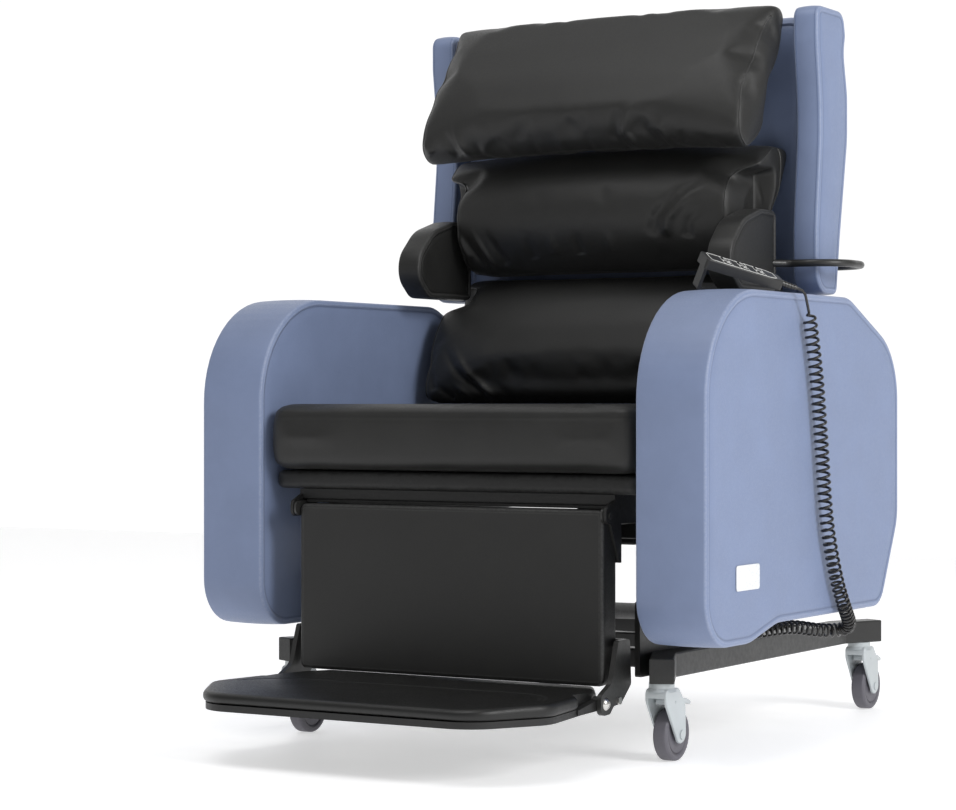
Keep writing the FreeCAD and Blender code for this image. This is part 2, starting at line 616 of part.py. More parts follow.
# --------------------------------------------------------------------- assembly
def build():
    """Every node's name and shape, before the chair is moved over its origin."""
    nodes = {"base_rail_right": base_rail(), "base_rail_left": mirrored(base_rail()),
             "rail_end_caps": rail_end_caps(), "base_cross_tubes": base_cross_tubes(),
             "tilt_posts": tilt_posts()}
    for corner, (x, y) in CASTOR_STEMS.items():
        for name, make in (("castor_fork", castor_fork), ("castor_wheel", castor_wheel),
                           ("castor_brake", castor_brake)):
            shape = make()
            shape.translate(V(x, y, 0))
            nodes[name + "_" + corner] = shape
    nodes.update({"seat_rails": seat_rails(), "seat_cross_tubes": seat_cross_tubes(),
                  "seat_pan": seat_pan(), "seat_front_bar": seat_front_bar(),
                  "seat_cushion": seat_cushion(), "arm_panel_right": arm_panel(),
                  "arm_panel_left": mirrored(arm_panel()), "maker_plate": maker_plate(),
                  "control_box": control_box(), "handset_body": handset_body(),
                  "handset_relief": handset_relief()})
    for i, (x, y) in enumerate(button_centres()):
        nodes["handset_button_%d" % (i + 1)] = handset_button(x, y)
    leads = [cord_tube(LEAD_ROUTE, CORD_R, "handset lead"),
             cord_tube(BOX_ROUTE, CORD_R, "box lead")]
    coil = cord_tube(COIL_ROUTE, COIL_R, "handset coil")
    ends = [coil, nodes["handset_relief"], nodes["control_box"]]
    nodes["cord_leads"] = Part.makeCompound([lead.cut(ends) for lead in leads])
    nodes["cord_coil"] = coil
    nodes.update({"back_shell": back_shell(), "back_frame": back_frame(), "push_bar": push_bar(),
                  "wing_right": wing(), "wing_left": mirrored(wing()),
                  "cushion_head": back_cushion(HEAD_OUTLINE, 320),
                  "cushion_middle": back_cushion(MIDDLE_OUTLINE, 312, pad_room=True),
                  "cushion_lumbar": back_cushion(LUMBAR_OUTLINE, 326, pad_room=True)})
    nodes.update({"lateral_pad_right": lateral_pad(), "lateral_pad_left": mirrored(lateral_pad()),
                  "lateral_hoop_right": lateral_hoop(),
                  "lateral_hoop_left": mirrored(lateral_hoop())})
    nodes.update({"legrest_pad": legrest_pad(), "legrest_frame": legrest_frame(),
                  "footplate_brackets": footplate_brackets(),
                  "footplate_bolts": footplate_bolts(), "footplate_board": footplate_board(),
                  "footplate_pad": footplate_pad()})
    drives = {"tilt": drive(TILT_BASE, TILT_LEVER, TILT_X, 250),
              "back": drive(BACK_BASE, BACK_LEVER, BACK_X, 148, retract=60),
              "leg": drive(LEG_BASE, LEG_LEVER, LEG_X, 190, start=LEG_TUBE_START,
                           pinned_at_lever=True)}
    for name, (housing, rod) in drives.items():
        nodes[name + "_drive_housing"] = housing
        nodes[name + "_drive_rod"] = rod
    return nodes


def main():
    """Write one STEP per node."""
    os.makedirs("parts", exist_ok=True)
    nodes = build()
    for name, shape in nodes.items():
        shape.translate(V(0, CHAIR_SHIFT_Y, 0))
        if not shape.isValid():
            print("not valid:", name)
        shape.exportStep("parts/" + name + ".step")
    print(len(nodes), "nodes")


main()
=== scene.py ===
import logging
import math
from collections.abc import Callable
from dataclasses import dataclass, field
from enum import Enum

import bpy
import numpy as np
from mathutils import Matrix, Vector


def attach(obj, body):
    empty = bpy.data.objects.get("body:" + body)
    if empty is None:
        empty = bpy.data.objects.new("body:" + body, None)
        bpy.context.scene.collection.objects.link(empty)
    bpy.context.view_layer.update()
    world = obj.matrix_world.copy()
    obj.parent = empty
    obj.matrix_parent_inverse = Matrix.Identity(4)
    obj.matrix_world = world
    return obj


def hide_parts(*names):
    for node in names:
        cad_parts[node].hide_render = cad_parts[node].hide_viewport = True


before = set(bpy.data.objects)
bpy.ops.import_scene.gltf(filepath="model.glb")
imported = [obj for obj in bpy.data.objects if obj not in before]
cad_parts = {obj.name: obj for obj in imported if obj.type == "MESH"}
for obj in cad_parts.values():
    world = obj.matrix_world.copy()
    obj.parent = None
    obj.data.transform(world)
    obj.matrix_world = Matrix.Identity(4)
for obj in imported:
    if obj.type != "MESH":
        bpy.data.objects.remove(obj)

"""Tilting patient recliner chair: upholstery, cord, finishes, light and camera over its fixed frame.

Metres, +Z up, the chair faces -Y and X = 0 is its middle. Outlines are measured from the middle of
the arm panels, SHIFT behind the frame's own zero, and are moved by it as they are placed.
"""
LOG = logging.getLogger("recliner")
SHIFT = 0.030
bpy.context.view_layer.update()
Pair = tuple[float, float]
Triple = tuple[float, float, float]


# ---------------------------------------------------------------------------------------- finishes
class Grain(Enum):
    """What the fine relief of a surface is."""

    PEBBLE = "rounded cells parted by creases, as on upholstery vinyl"
    PEEL = "the soft ripple of powder paint"
    SPARK = "the fine matt texture of moulded plastic"
    TURNED = "hair lines left by a lathe or a draw plate"
    SMOOTH = "glossy rubber with dust in it"


def linear(colour: Triple) -> tuple[float, float, float, float]:
    """A colour in 0-255 display numbers as linear light.

    Args:
        colour: red, green and blue as a screen shows them.

    Returns:
        The four numbers that a colour socket takes.
    """
    parts = np.asarray(colour, float) / 255.0
    light = np.where(parts <= 0.04045, parts / 12.92, ((parts + 0.055) / 1.055) ** 2.4)
    return (*(float(c) for c in light), 1.0)


@dataclass(frozen=True)
class Finish:
    """One finish: its colour, relief, gloss, the painted shade in its grooves and creases, and the wear and
    painted highlight on its edges.
    """

    name: str
    colour: Triple
    grain: Grain
    cell: float
    depth: float
    roughness: float
    uneven: float = 0.06
    mottle: float = 0.10
    metallic: float = 0.0
    coat: float = 0.0
    sheen: float = 0.0
    specular: float = 0.5
    # seam_shade darkens seam grooves as painted shade; the field after it pales edges and beads for wear
    # and painted highlight.
    seam_shade: float = 0.45
    highlight_and_wear_pale: float = 0.16
    shares: str = ""

    @property
    def slot_name(self) -> str:
        """The record's slot that pieces of this finish belong to."""
        return self.shares or self.name

    def make(self) -> bpy.types.Material:
        """Build the node material: mottled colour, painted shade in creases and seam grooves, relief at the
        real size, uneven gloss, and wear mixed with painted highlight.

        Returns:
            The new material.
        """
        material = bpy.data.materials.new(self.name)
        material.use_nodes = True
        tree = material.node_tree
        shader = tree.nodes["Principled BSDF"]
        where = self._add(tree, "ShaderNodeTexCoord", {}).outputs["Object"]
        relief, cells = self._relief(tree, where)
        broad = self._add(tree, "ShaderNodeTexNoise", {"Vector": where, "Scale": 14.0, "Detail": 5.0,
                                                       "Roughness": 0.6}).outputs["Fac"]
        fine = self._add(tree, "ShaderNodeTexNoise", {"Vector": where, "Scale": 0.35 / self.cell,
                                                      "Detail": 2.0}).outputs["Fac"]
        groove_shade = self._add(tree, "ShaderNodeAttribute", {}, attribute_name="groove_shade").outputs["Fac"]
        wear_and_highlight = self._add(tree, "ShaderNodeAttribute", {}, attribute_name="wear_and_highlight").outputs["Fac"]
        base = linear(self.colour)
        low = tuple(c * (1 - 2.2 * self.mottle) for c in base[:3]) + (1.0,)
        high = tuple(min(c * (1 + 1.6 * self.mottle), 1) for c in base[:3]) + (1.0,)
        spread = self._map(tree, broad, 0.3, 0.7, 0.0, 1.0)
        colour = self._mix(tree, spread, low, high)
        # Painted shade: the colour darkens up to 30% towards the low tone in the relief's creases and
        # hollows.
        crease_shade = self._map(tree, cells, 0.0, 0.25, 0.30, 0.0)
        colour = self._mix(tree, crease_shade, colour, low)
        # Painted shade: where the seam attribute marks a groove or trough, the colour darkens by
        # seam_shade.
        dark = tuple(c * (1 - self.seam_shade) for c in base[:3]) + (1.0,)
        colour = self._mix(tree, groove_shade, colour, dark)
        # Wear and painted highlight: the colour is paled on eased edges and welt beads where the mark is
        # set, broken by fine noise.
        pale = tuple(c + (0.8 - c) * self.highlight_and_wear_pale for c in base[:3]) + (1.0,)
        rubbed_and_highlit = self._math(tree, "MULTIPLY", wear_and_highlight, self._map(tree, fine, 0.35, 0.6, 0.2, 1.0))
        colour = self._mix(tree, rubbed_and_highlit, colour, pale)
        tree.links.new(colour, shader.inputs["Base Color"])
        gloss = self._map(tree, fine, 0.3, 0.7, self.roughness - self.uneven, self.roughness + self.uneven)
        gloss = self._math(tree, "ADD", gloss, self._map(tree, broad, 0.3, 0.7, -self.uneven / 2,
                                                         self.uneven / 2))
        tree.links.new(gloss, shader.inputs["Roughness"])
        first = self._add(tree, "ShaderNodeBump", {"Height": relief, "Strength": 1.0,
                                                   "Distance": self.depth}).outputs["Normal"]
        swell = self._add(tree, "ShaderNodeTexNoise", {"Vector": where, "Scale": 38.0,
                                                       "Detail": 2.0}).outputs["Fac"]
        second = self._add(tree, "ShaderNodeBump", {"Height": swell, "Strength": 1.0, "Normal": first,
                                                    "Distance": self.depth * 2.0}).outputs["Normal"]
        tree.links.new(second, shader.inputs["Normal"])
        for socket, value in (("Metallic", self.metallic), ("Coat Weight", self.coat),
                              ("Sheen Weight", self.sheen), ("Specular IOR Level", self.specular)):
            shader.inputs[socket].default_value = value
        shader.inputs["Coat Roughness"].default_value = 0.25
        shader.inputs["Sheen Roughness"].default_value = 0.45
        material.diffuse_color = base
        return material

    def _relief(self, tree: bpy.types.NodeTree, where: bpy.types.NodeSocket
                ) -> tuple[bpy.types.NodeSocket, bpy.types.NodeSocket]:
        """Height of the fine relief, and a field that is 0 in its creases.

        Args:
            tree: the material's nodes.
            where: object coordinates.

        Returns:
            The height socket and the crease socket.
        """
        if self.grain is Grain.PEBBLE:
            ripple = self._add(tree, "ShaderNodeTexNoise", {"Vector": where, "Scale": 0.4 / self.cell,
                                                            "Detail": 3.0})
            bent = self._add(tree, "ShaderNodeVectorMath", {0: ripple.outputs["Color"],
                                                            1: (self.cell,) * 3}, operation="MULTIPLY")
            moved = self._add(tree, "ShaderNodeVectorMath", {0: where, 1: bent.outputs["Vector"]},
                              operation="ADD").outputs["Vector"]
            cells = self._add(tree, "ShaderNodeTexVoronoi", {"Vector": moved, "Scale": 1 / self.cell},
                              feature="DISTANCE_TO_EDGE").outputs["Distance"]
            height = self._map(tree, cells, 0.0, 0.32, 0.0, 1.0)
            return height, cells
        if self.grain is Grain.TURNED:
            long = self._add(tree, "ShaderNodeMapping", {"Vector": where, "Scale": (1.0, 0.04, 1.0)})
            where = long.outputs["Vector"]
        noise = self._add(tree, "ShaderNodeTexNoise", {
            "Vector": where, "Scale": 1 / self.cell, "Roughness": 0.35 if self.grain is Grain.PEEL else 0.7,
            "Detail": 1.0 if self.grain is Grain.PEEL else 4.0}).outputs["Fac"]
        return noise, self._map(tree, noise, 0.25, 0.6, 0.0, 1.0)

    @staticmethod
    def _add(tree: bpy.types.NodeTree, kind: str, inputs: dict, **settings: object) -> bpy.types.Node:
        """Add a node, set its options, and link or fill its inputs."""
        node = tree.nodes.new(kind)
        for key, value in settings.items():
            setattr(node, key, value)
        for key, value in inputs.items():
            if isinstance(value, bpy.types.NodeSocket):
                tree.links.new(value, node.inputs[key])
            else:
                node.inputs[key].default_value = value
        return node

    @classmethod
    def _map(cls, tree: bpy.types.NodeTree, value: bpy.types.NodeSocket, low: float, high: float,
             to_low: float, to_high: float) -> bpy.types.NodeSocket:
        """A value carried from one range to another, held at its ends."""
        return cls._add(tree, "ShaderNodeMapRange", {0: value, 1: low, 2: high, 3: to_low,
                                                     4: to_high}).outputs[0]

    @classmethod
    def _math(cls, tree: bpy.types.NodeTree, operation: str, a: object, b: object) -> bpy.types.NodeSocket:
        """Two values brought together by one sum."""
        return cls._add(tree, "ShaderNodeMath", {0: a, 1: b}, operation=operation).outputs[0]

    @classmethod
    def _mix(cls, tree: bpy.types.NodeTree, share: object, a: object, b: object) -> bpy.types.NodeSocket:
        """A colour between a and b by the given share of b."""
        return cls._add(tree, "ShaderNodeMix", {"Factor": share, 6: a, 7: b},
                        data_type="RGBA").outputs[2]


class Slot(Enum):
    """The chair's finishes, by the slot of the record that each belongs to."""

    BLUE = Finish("blue_vinyl", (122, 136, 168), Grain.PEBBLE, 0.0013, 0.00007, 0.46, sheen=0.05,
                  mottle=0.03, seam_shade=0.30, highlight_and_wear_pale=0.10)
    BLACK = Finish("black_vinyl", (34, 34, 33), Grain.PEBBLE, 0.0011, 0.00006, 0.46, sheen=0.03,
                   mottle=0.08, highlight_and_wear_pale=0.04, specular=0.42)
    PAN = Finish("pan_vinyl", (12, 12, 11), Grain.PEBBLE, 0.0021, 0.00028, 0.50, mottle=0.12,
                 highlight_and_wear_pale=0.03)
    FOOT = Finish("foot_vinyl", (14, 14, 13), Grain.PEBBLE, 0.0011, 0.00006, 0.42, mottle=0.10,
                  highlight_and_wear_pale=0.05, shares="pan_vinyl")
    STEEL = Finish("black_steel", (36, 36, 35), Grain.PEEL, 0.0024, 0.00010, 0.42, mottle=0.08,
                   coat=0.15)
    CAP = Finish("cap_plastic", (43, 43, 42), Grain.SPARK, 0.0012, 0.00022, 0.58)
    CASTOR = Finish("castor_grey", (186, 192, 194), Grain.SPARK, 0.0009, 0.00004, 0.42, mottle=0.03,
                    coat=0.1)
    TYRE = Finish("castor_tyre", (98, 96, 103), Grain.SMOOTH, 0.0016, 0.00005, 0.55, mottle=0.07)
    HUB = Finish("castor_hub", (84, 84, 86), Grain.SPARK, 0.0010, 0.00005, 0.5, mottle=0.05,
                 shares="castor_tyre")
    PLATE = Finish("plate_white", (226, 228, 230), Grain.SPARK, 0.0010, 0.00002, 0.3, mottle=0.02)
    DRIVE = Finish("drive_plastic", (32, 32, 33), Grain.SPARK, 0.0013, 0.00012, 0.5)
    ROD = Finish("rod_steel", (176, 178, 181), Grain.TURNED, 0.0005, 0.00002, 0.24, metallic=1.0,
                 mottle=0.04)
    BOLT = Finish("bolt_steel", (206, 204, 200), Grain.TURNED, 0.0004, 0.00002, 0.22, metallic=1.0,
                  mottle=0.05)
    HANDSET = Finish("handset_plastic", (36, 36, 36), Grain.SPARK, 0.0007, 0.00006, 0.42,
                     highlight_and_wear_pale=0.35)
    KEY = Finish("key_plastic", (18, 18, 19), Grain.SPARK, 0.0006, 0.00004, 0.38)
    PRINT = Finish("key_print", (222, 222, 220), Grain.SPARK, 0.0006, 0.00001, 0.45, mottle=0.02,
                   shares="key_plastic")
    CORD = Finish("cord_rubber", (24, 22, 20), Grain.SMOOTH, 0.0010, 0.00003, 0.30, mottle=0.12,
                  coat=0.25)
    BOARD = Finish("board_black", (27, 27, 27), Grain.PEEL, 0.0018, 0.00008, 0.5)
    THREAD = Finish("blue_thread", (76, 96, 136), Grain.SPARK, 0.0005, 0.00006, 0.6,
                    shares="blue_vinyl")
    # A lighter, glossier copy of the black vinyl: painted highlight along the cushion welts.
    WELT = Finish("black_welt", (48, 48, 47), Grain.PEBBLE, 0.0008, 0.00004, 0.36, mottle=0.06,
                  shares="black_vinyl")


class Wardrobe:
    """Makes each finish once and puts it on pieces."""

    def __init__(self) -> None:
        """Start with no material made."""
        self._made: dict[Slot, bpy.types.Material] = {}

    def material(self, slot: Slot) -> bpy.types.Material:
        """The material of a finish, made at its first use."""
        if slot not in self._made:
            self._made[slot] = slot.value.make()
        return self._made[slot]

    def dress(self, piece: bpy.types.Object, *slots: Slot) -> None:
        """Put finishes on a new piece, in the order of its faces' material numbers."""
        piece.data.materials.clear()
        for slot in slots:
            piece.data.materials.append(self.material(slot))

    def dress_frame(self) -> None:
        """Put each carried-over node's finish on it, by the slot name that it came with."""
        known = {slot.value.name: slot for slot in Slot}
        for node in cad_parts.values():
            for place in node.material_slots:
                name = place.material.name.split(".")[0]
                place.material = self.material(known[name])


# ------------------------------------------------------------------------------------ mesh formulas
def resampled(points: np.ndarray, count: int, closed: bool) -> np.ndarray:
    """Points set evenly by length along a line.

    Formula: the running length of the line is inverted at equal steps, one coordinate at a time.

    Args:
        points: the line, one point a row.
        count: how many points come back.
        closed: whether the last point joins the first.

    Returns:
        The even points.
    """
    line = np.vstack([points, points[:1]]) if closed else points
    run = np.concatenate([[0.0], np.cumsum(np.linalg.norm(np.diff(line, axis=0), axis=1))])
    at = np.linspace(0, run[-1], count, endpoint=not closed)
    return np.stack([np.interp(at, run, line[:, k]) for k in range(line.shape[1])], axis=1)


def outline_of(corners: list[Triple], count: int) -> np.ndarray:
    """A closed outline with rounded corners, anticlockwise.

    Formula: each corner is swapped for the arc tangent to its two runs, and the whole is resampled.

    Args:
        corners: (first, second, radius) of each corner.
        count: points in the outline.

    Returns:
        An array of (count, 2).
    """
    spots = np.array([c[:2] for c in corners], float)
    parts = []
    for here, back, ahead, (_, _, radius) in zip(spots, np.roll(spots, 1, 0), np.roll(spots, -1, 0),
                                                 corners):
        to_back, to_ahead = back - here, ahead - here
        to_back, to_ahead = (v / np.linalg.norm(v) for v in (to_back, to_ahead))
        half = math.acos(float(np.clip(to_back @ to_ahead, -1, 1))) / 2
        reach = min(radius / math.tan(half), 0.49 * np.linalg.norm(back - here),
                    0.49 * np.linalg.norm(ahead - here))
        share = np.linspace(0, 1, 15)[:, None]
        start, end = here + to_back * reach, here + to_ahead * reach
        weight = math.sin(half)
        low, mid, high = (1 - share) ** 2, 2 * weight * share * (1 - share), share ** 2
        parts.append((start * low + here * mid + end * high) / (low + mid + high))
    points = resampled(np.vstack(parts), count, True)
    turn = np.roll(points, -1, 0)
    area = np.sum(points[:, 0] * turn[:, 1] - turn[:, 0] * points[:, 1])
    return points if area > 0 else points[::-1].copy()


def outward(outline: np.ndarray) -> np.ndarray:
    """Unit normals of an anticlockwise outline: the central difference turned a right angle."""
    along = np.roll(outline, -1, 0) - np.roll(outline, 1, 0)
    along /= np.linalg.norm(along, axis=1)[:, None] + 1e-12
    return np.stack([along[:, 1], -along[:, 0]], axis=1)


def closed_mesh(name: str, coords: np.ndarray, quads: np.ndarray, fans: np.ndarray,
                marks: dict[str, np.ndarray] | None = None) -> bpy.types.Object:
    """An object from whole arrays, with its faces turned outwards.

    Formula: the signed volume is a sixth of the sum of each triangle's triple product; where it is
    below zero every face is turned round.

    Args:
        name: the piece's name.
        coords: vertices, (n, 3).
        quads: four-sided faces.
        fans: three-sided faces.
        marks: point attributes such as seam and wear, by name.

    Returns:
        The linked object.
    """
    thirds = np.vstack([quads[:, [0, 1, 2]], quads[:, [0, 2, 3]], fans]) if len(quads) else fans
    a, b, c = (coords[thirds[:, k]] for k in range(3))
    if np.einsum("ij,ij->i", a, np.cross(b, c)).sum() < 0:
        quads, fans = quads[:, ::-1], fans[:, ::-1]
    mesh = bpy.data.meshes.new(name)
    mesh.from_pydata(coords.tolist(), [], quads.tolist() + fans.tolist())
    mesh.update()
    mesh.shade_smooth()
    for key, values in (marks or {}).items():
        mesh.attributes.new(key, "FLOAT", "POINT").data.foreach_set("value", values.astype(np.float32))
    piece = bpy.data.objects.new(name, mesh)
    bpy.context.scene.collection.objects.link(piece)
    return piece


def ring_faces(rings: int, around: int, first: int = 0) -> np.ndarray:
    """Quads between consecutive closed rings, by index arithmetic on the whole grid."""
    r, i = np.meshgrid(np.arange(rings - 1), np.arange(around), indexing="ij")
    j = (i + 1) % around
    quad = np.stack([r * around + i, r * around + j, (r + 1) * around + j, (r + 1) * around + i], -1)
    return quad.reshape(-1, 4) + first


def capped(rings: np.ndarray) -> tuple[np.ndarray, np.ndarray, np.ndarray]:
    """Vertices and faces of a stack of rings closed by a fan at each end.

    Args:
        rings: (rings, around, 3).

    Returns:
        Vertices, quads and triangles; the last two vertices are the two poles.
    """
    count, around = rings.shape[:2]
    poles = np.stack([rings[0].mean(0), rings[-1].mean(0)])
    coords = np.vstack([rings.reshape(-1, 3), poles])
    i = np.arange(around)
    j, last, pole = (i + 1) % around, (count - 1) * around, count * around
    start = np.stack([np.full(around, pole), j, i], -1)
    end = np.stack([np.full(around, pole + 1), last + i, last + j], -1)
    return coords, ring_faces(count, around), np.vstack([start, end])


class Across(Enum):
    """The way a slab's thickness runs; the values place (thickness, first, second) on X, Y, Z."""

    X = (0, 1, 2)
    Y = (1, 0, 2)
    Z = (1, 2, 0)


@dataclass(frozen=True)
class Slab:
    """A padded board: an outline with thickness, eased edges, a welt and crowned faces."""

    corners: list[Triple]
    low: float
    high: float
    across: Across
    edge: float = 0.005
    bead: float = 0.0
    groove: float = 0.0
    crown: float = 0.003
    band: float = 0.0
    count: int = 240
    step: float = 0.010
    face_rings: int = 14

    def rings(self) -> tuple[np.ndarray, np.ndarray, np.ndarray]:
        """The slab as a stack of rings from one face's middle round its edge to the other's.

        Formula: along the profile the outline is moved inwards by `inset` and drawn towards its
        centre by `share`. No corner is tighter than the inset, so that it never crosses itself. The
        edge is a quarter circle, the welt a raised half wave with a trough beside it, and each face
        rises by crown * (1 - share^2.5).

        Returns:
            Ring coordinates (rings, count, 3), and for each ring its painted seam-groove shade and its wear
            with painted highlight.
        """
        turn = np.linspace(0, math.pi / 2, 6)
        welt = np.linspace(0, 1, 9)[1:]
        width = 0.009 if (self.bead or self.groove) else 0.004
        wave_end, trough_at = 0.55, 0.72
        arch = np.sin(math.pi * np.clip(welt / wave_end, 0, 1))
        wave = self.bead * arch
        trough = self.groove * np.exp(-(((welt - trough_at) / 0.16) ** 2))
        shrink = np.linspace(1, 0.03, self.face_rings)[1:]
        inset = np.concatenate([self.edge * (1 - np.cos(turn)), self.edge + width * welt,
                                np.full(len(shrink), self.edge + width)])
        rise = np.concatenate([self.edge * (np.sin(turn) - 1), wave - trough,
                               self.crown * (1 - shrink ** 2.5)])
        share = np.concatenate([np.ones(len(turn) + len(welt)), shrink])
        # Painted shade along the welt's trough; wear with painted highlight halfway round the eased edge
        # and on the welt's bead.
        groove_shade = np.concatenate([np.zeros(len(turn)), np.exp(-(((welt - trough_at) / 0.14) ** 2)),
                               np.zeros(len(shrink))]) * (1 if self.groove else 0)
        wear_and_highlight = np.concatenate([np.sin(turn * 2), 0.8 * arch, np.zeros(len(shrink))])
        steps = max(int((self.high - self.low - 2 * self.edge) / self.step), 2)
        between = np.linspace(0, 1, steps + 1)[1:-1]
        band_at = self.low + self.edge + between * (self.high - self.low - 2 * self.edge)
        band_out = -self.band * (1 - (2 * between - 1) ** 2)
        depth = np.concatenate([(self.low - rise)[::-1], band_at, self.high + rise])
        inset = np.concatenate([inset[::-1], band_out, inset])
        share = np.concatenate([share[::-1], np.ones(len(between)), share])
        groove_shade = np.concatenate([groove_shade[::-1], np.zeros(len(between)), groove_shade])
        wear_and_highlight = np.concatenate([wear_and_highlight[::-1], np.zeros(len(between)), wear_and_highlight])
        least = self.edge + width + 0.0005
        outline = outline_of([(a, b, max(r, least)) for a, b, r in self.corners], self.count)
        centre = (outline.min(0) + outline.max(0)) / 2
        flat = outline[None] - outward(outline)[None] * inset[:, None, None]
        flat = centre + (flat - centre) * share[:, None, None]
        thick = np.broadcast_to(depth[:, None, None], flat.shape[:2] + (1,))
        local = np.concatenate([thick, flat], axis=2)
        return local[:, :, list(self.across.value)], groove_shade, wear_and_highlight

    def build(self, name: str, warp: Callable[[np.ndarray], np.ndarray] | None = None
              ) -> bpy.types.Object:
        """The slab as an object, bent by a piece's own formula where one is given.

        Args:
            name: the piece's name.
            warp: a function of an (n, 3) array that gives the moved array.

        Returns:
            The object, moved back by SHIFT.
        """
        rings, groove_shade, wear_and_highlight = self.rings()
        coords, quads, fans = capped(rings)
        if warp is not None:
            coords = warp(coords)
        # Both marks go to every vertex: the painted groove shade, and the wear with painted highlight.
        marks = {key: np.append(np.repeat(values, self.count), [values[0], values[-1]])
                 for key, values in (("groove_shade", groove_shade), ("wear_and_highlight", wear_and_highlight))}
        return closed_mesh(name, coords + (0, SHIFT, 0), quads, fans, marks)


def frames_along(path: np.ndarray, closed: bool) -> tuple[np.ndarray, np.ndarray, np.ndarray]:
    """Tangents and two side vectors along a path, without twist where it bends gently.

    Formula: the tangent is the central difference. The first side vector is carried from point to
    point and made square to each tangent in turn.

    Args:
        path: the points.
        closed: whether the path is a loop.

    Returns:
        Tangents, first sides and second sides.
    """
    if closed:
        along = np.roll(path, -1, 0) - np.roll(path, 1, 0)
    else:
        along = np.gradient(path, axis=0)
    along /= np.linalg.norm(along, axis=1)[:, None] + 1e-12
    side = np.cross(along[0], (0.31, 0.23, 0.92))
    sides = np.empty_like(path)
    for i, way in enumerate(along):
        side = side - way * (side @ way)
        side /= np.linalg.norm(side)
        sides[i] = side
    return along, sides, np.cross(along, sides)


def tube(name: str, path: np.ndarray, radius: float, closed: bool, around: int = 8) -> bpy.types.Object:
    """A round bead along a path.

    Formula: point + radius * (cos v * first side + sin v * second side), v round the section.

    Args:
        name: the piece's name.
        path: its middle line.
        radius: half its thickness.
        closed: whether it is a loop.
        around: sides of the section.

    Returns:
        The object.
    """
    _, one, two = frames_along(path, closed)
    angle = np.linspace(0, 2 * math.pi, around, endpoint=False)
    rings = path[:, None] + radius * (np.cos(angle)[None, :, None] * one[:, None]
                                      + np.sin(angle)[None, :, None] * two[:, None])
    if closed:
        rings_closed = np.concatenate([rings, rings[:1]])
        quads = ring_faces(len(rings_closed), around) % (len(path) * around)
        return closed_mesh(name, rings.reshape(-1, 3), quads, np.empty((0, 3), int))
    coords, quads, fans = capped(rings)
    return closed_mesh(name, coords, quads, fans)


def turned(name: str, profile: np.ndarray, centre: Triple, around: int, slots: np.ndarray
           ) -> bpy.types.Object:
    """A closed section turned about an axis along X.

    Formula: (x, r) goes to (cx + x, cy + r cos v, cz + r sin v), v from 0 to a full turn.

    Args:
        name: the piece's name.
        profile: closed section of (x, radius).
        centre: the axis's point.
        around: steps of the turn.
        slots: the material number of each stretch of the section.

    Returns:
        The object.
    """
    angle = np.linspace(0, 2 * math.pi, around, endpoint=False)
    x = np.broadcast_to(profile[None, :, 0], (around, len(profile)))
    y = np.cos(angle)[:, None] * profile[None, :, 1]
    z = np.sin(angle)[:, None] * profile[None, :, 1]
    rings = np.stack([x, y, z], -1) + np.asarray(centre)
    closed = np.concatenate([rings, rings[:1]])
    quads = ring_faces(len(closed), len(profile)) % (around * len(profile))
    piece = closed_mesh(name, rings.reshape(-1, 3), quads, np.empty((0, 3), int))
    piece.data.polygons.foreach_set("material_index", np.tile(slots, around).astype(np.int32))
    return piece


def read_at(at: np.ndarray, run: np.ndarray, values: np.ndarray) -> np.ndarray:
    """Rows of three numbers read off a line at given lengths along it, one column at a time."""
    return np.stack([np.interp(at, run, values[:, k]) for k in range(3)], -1)


def stitches(name: str, path: np.ndarray, length: float, pitch: float, radius: float
             ) -> bpy.types.Object:
    """A row of thread stitches, each a short six-sided spindle along the path.

    Formula: stitch k runs from s = k * pitch to s + length, its radius a half sine of its length.

    Args:
        name: the piece's name.
        path: the line of the row.
        length: one stitch.
        pitch: from one stitch to the next.
        radius: half its thickness at the middle.

    Returns:
        The object.
    """
    run = np.concatenate([[0.0], np.cumsum(np.linalg.norm(np.diff(path, axis=0), axis=1))])
    _, one, two = frames_along(path, False)
    rows, around = 5, 6
    starts = np.arange(0, run[-1] - length, pitch)
    at = starts[:, None] + np.linspace(0.03, 0.97, rows)[None] * length
    middle, first, second = (read_at(at, run, values) for values in (path, one, two))
    swell = radius * np.sin(math.pi * np.linspace(0.12, 0.88, rows))
    angle = np.linspace(0, 2 * math.pi, around, endpoint=False)
    rings = middle[:, :, None] + swell[None, :, None, None] * (
        np.cos(angle)[None, None, :, None] * first[:, :, None]
        + np.sin(angle)[None, None, :, None] * second[:, :, None])
    caps = np.array([[0, 5, 4, 3], [0, 3, 2, 1], [24, 25, 26, 27], [24, 27, 28, 29]])
    every = np.vstack([ring_faces(rows, around), caps])
    quads = (every[None] + (np.arange(len(starts)) * rows * around)[:, None, None]).reshape(-1, 4)
    return closed_mesh(name, rings.reshape(-1, 3), quads, np.empty((0, 3), int))


def vertices_of(piece: bpy.types.Object) -> np.ndarray:
    """A mesh's vertices as an (n, 3) array."""
    coords = np.empty(len(piece.data.vertices) * 3, np.float32)
    piece.data.vertices.foreach_get("co", coords)
    return coords.reshape(-1, 3).astype(float)


def set_vertices(piece: bpy.types.Object, coords: np.ndarray) -> None:
    """Write an (n, 3) array back to a mesh."""
    piece.data.vertices.foreach_set("co", coords.astype(np.float32).ravel())
    piece.data.update()


def mark(piece: bpy.types.Object, name: str, values: np.ndarray) -> None:
    """Store one number per vertex for the finish to read."""
    found = piece.data.attributes.get(name) or piece.data.attributes.new(name, "FLOAT", "POINT")
    found.data.foreach_set("value", values.astype(np.float32))


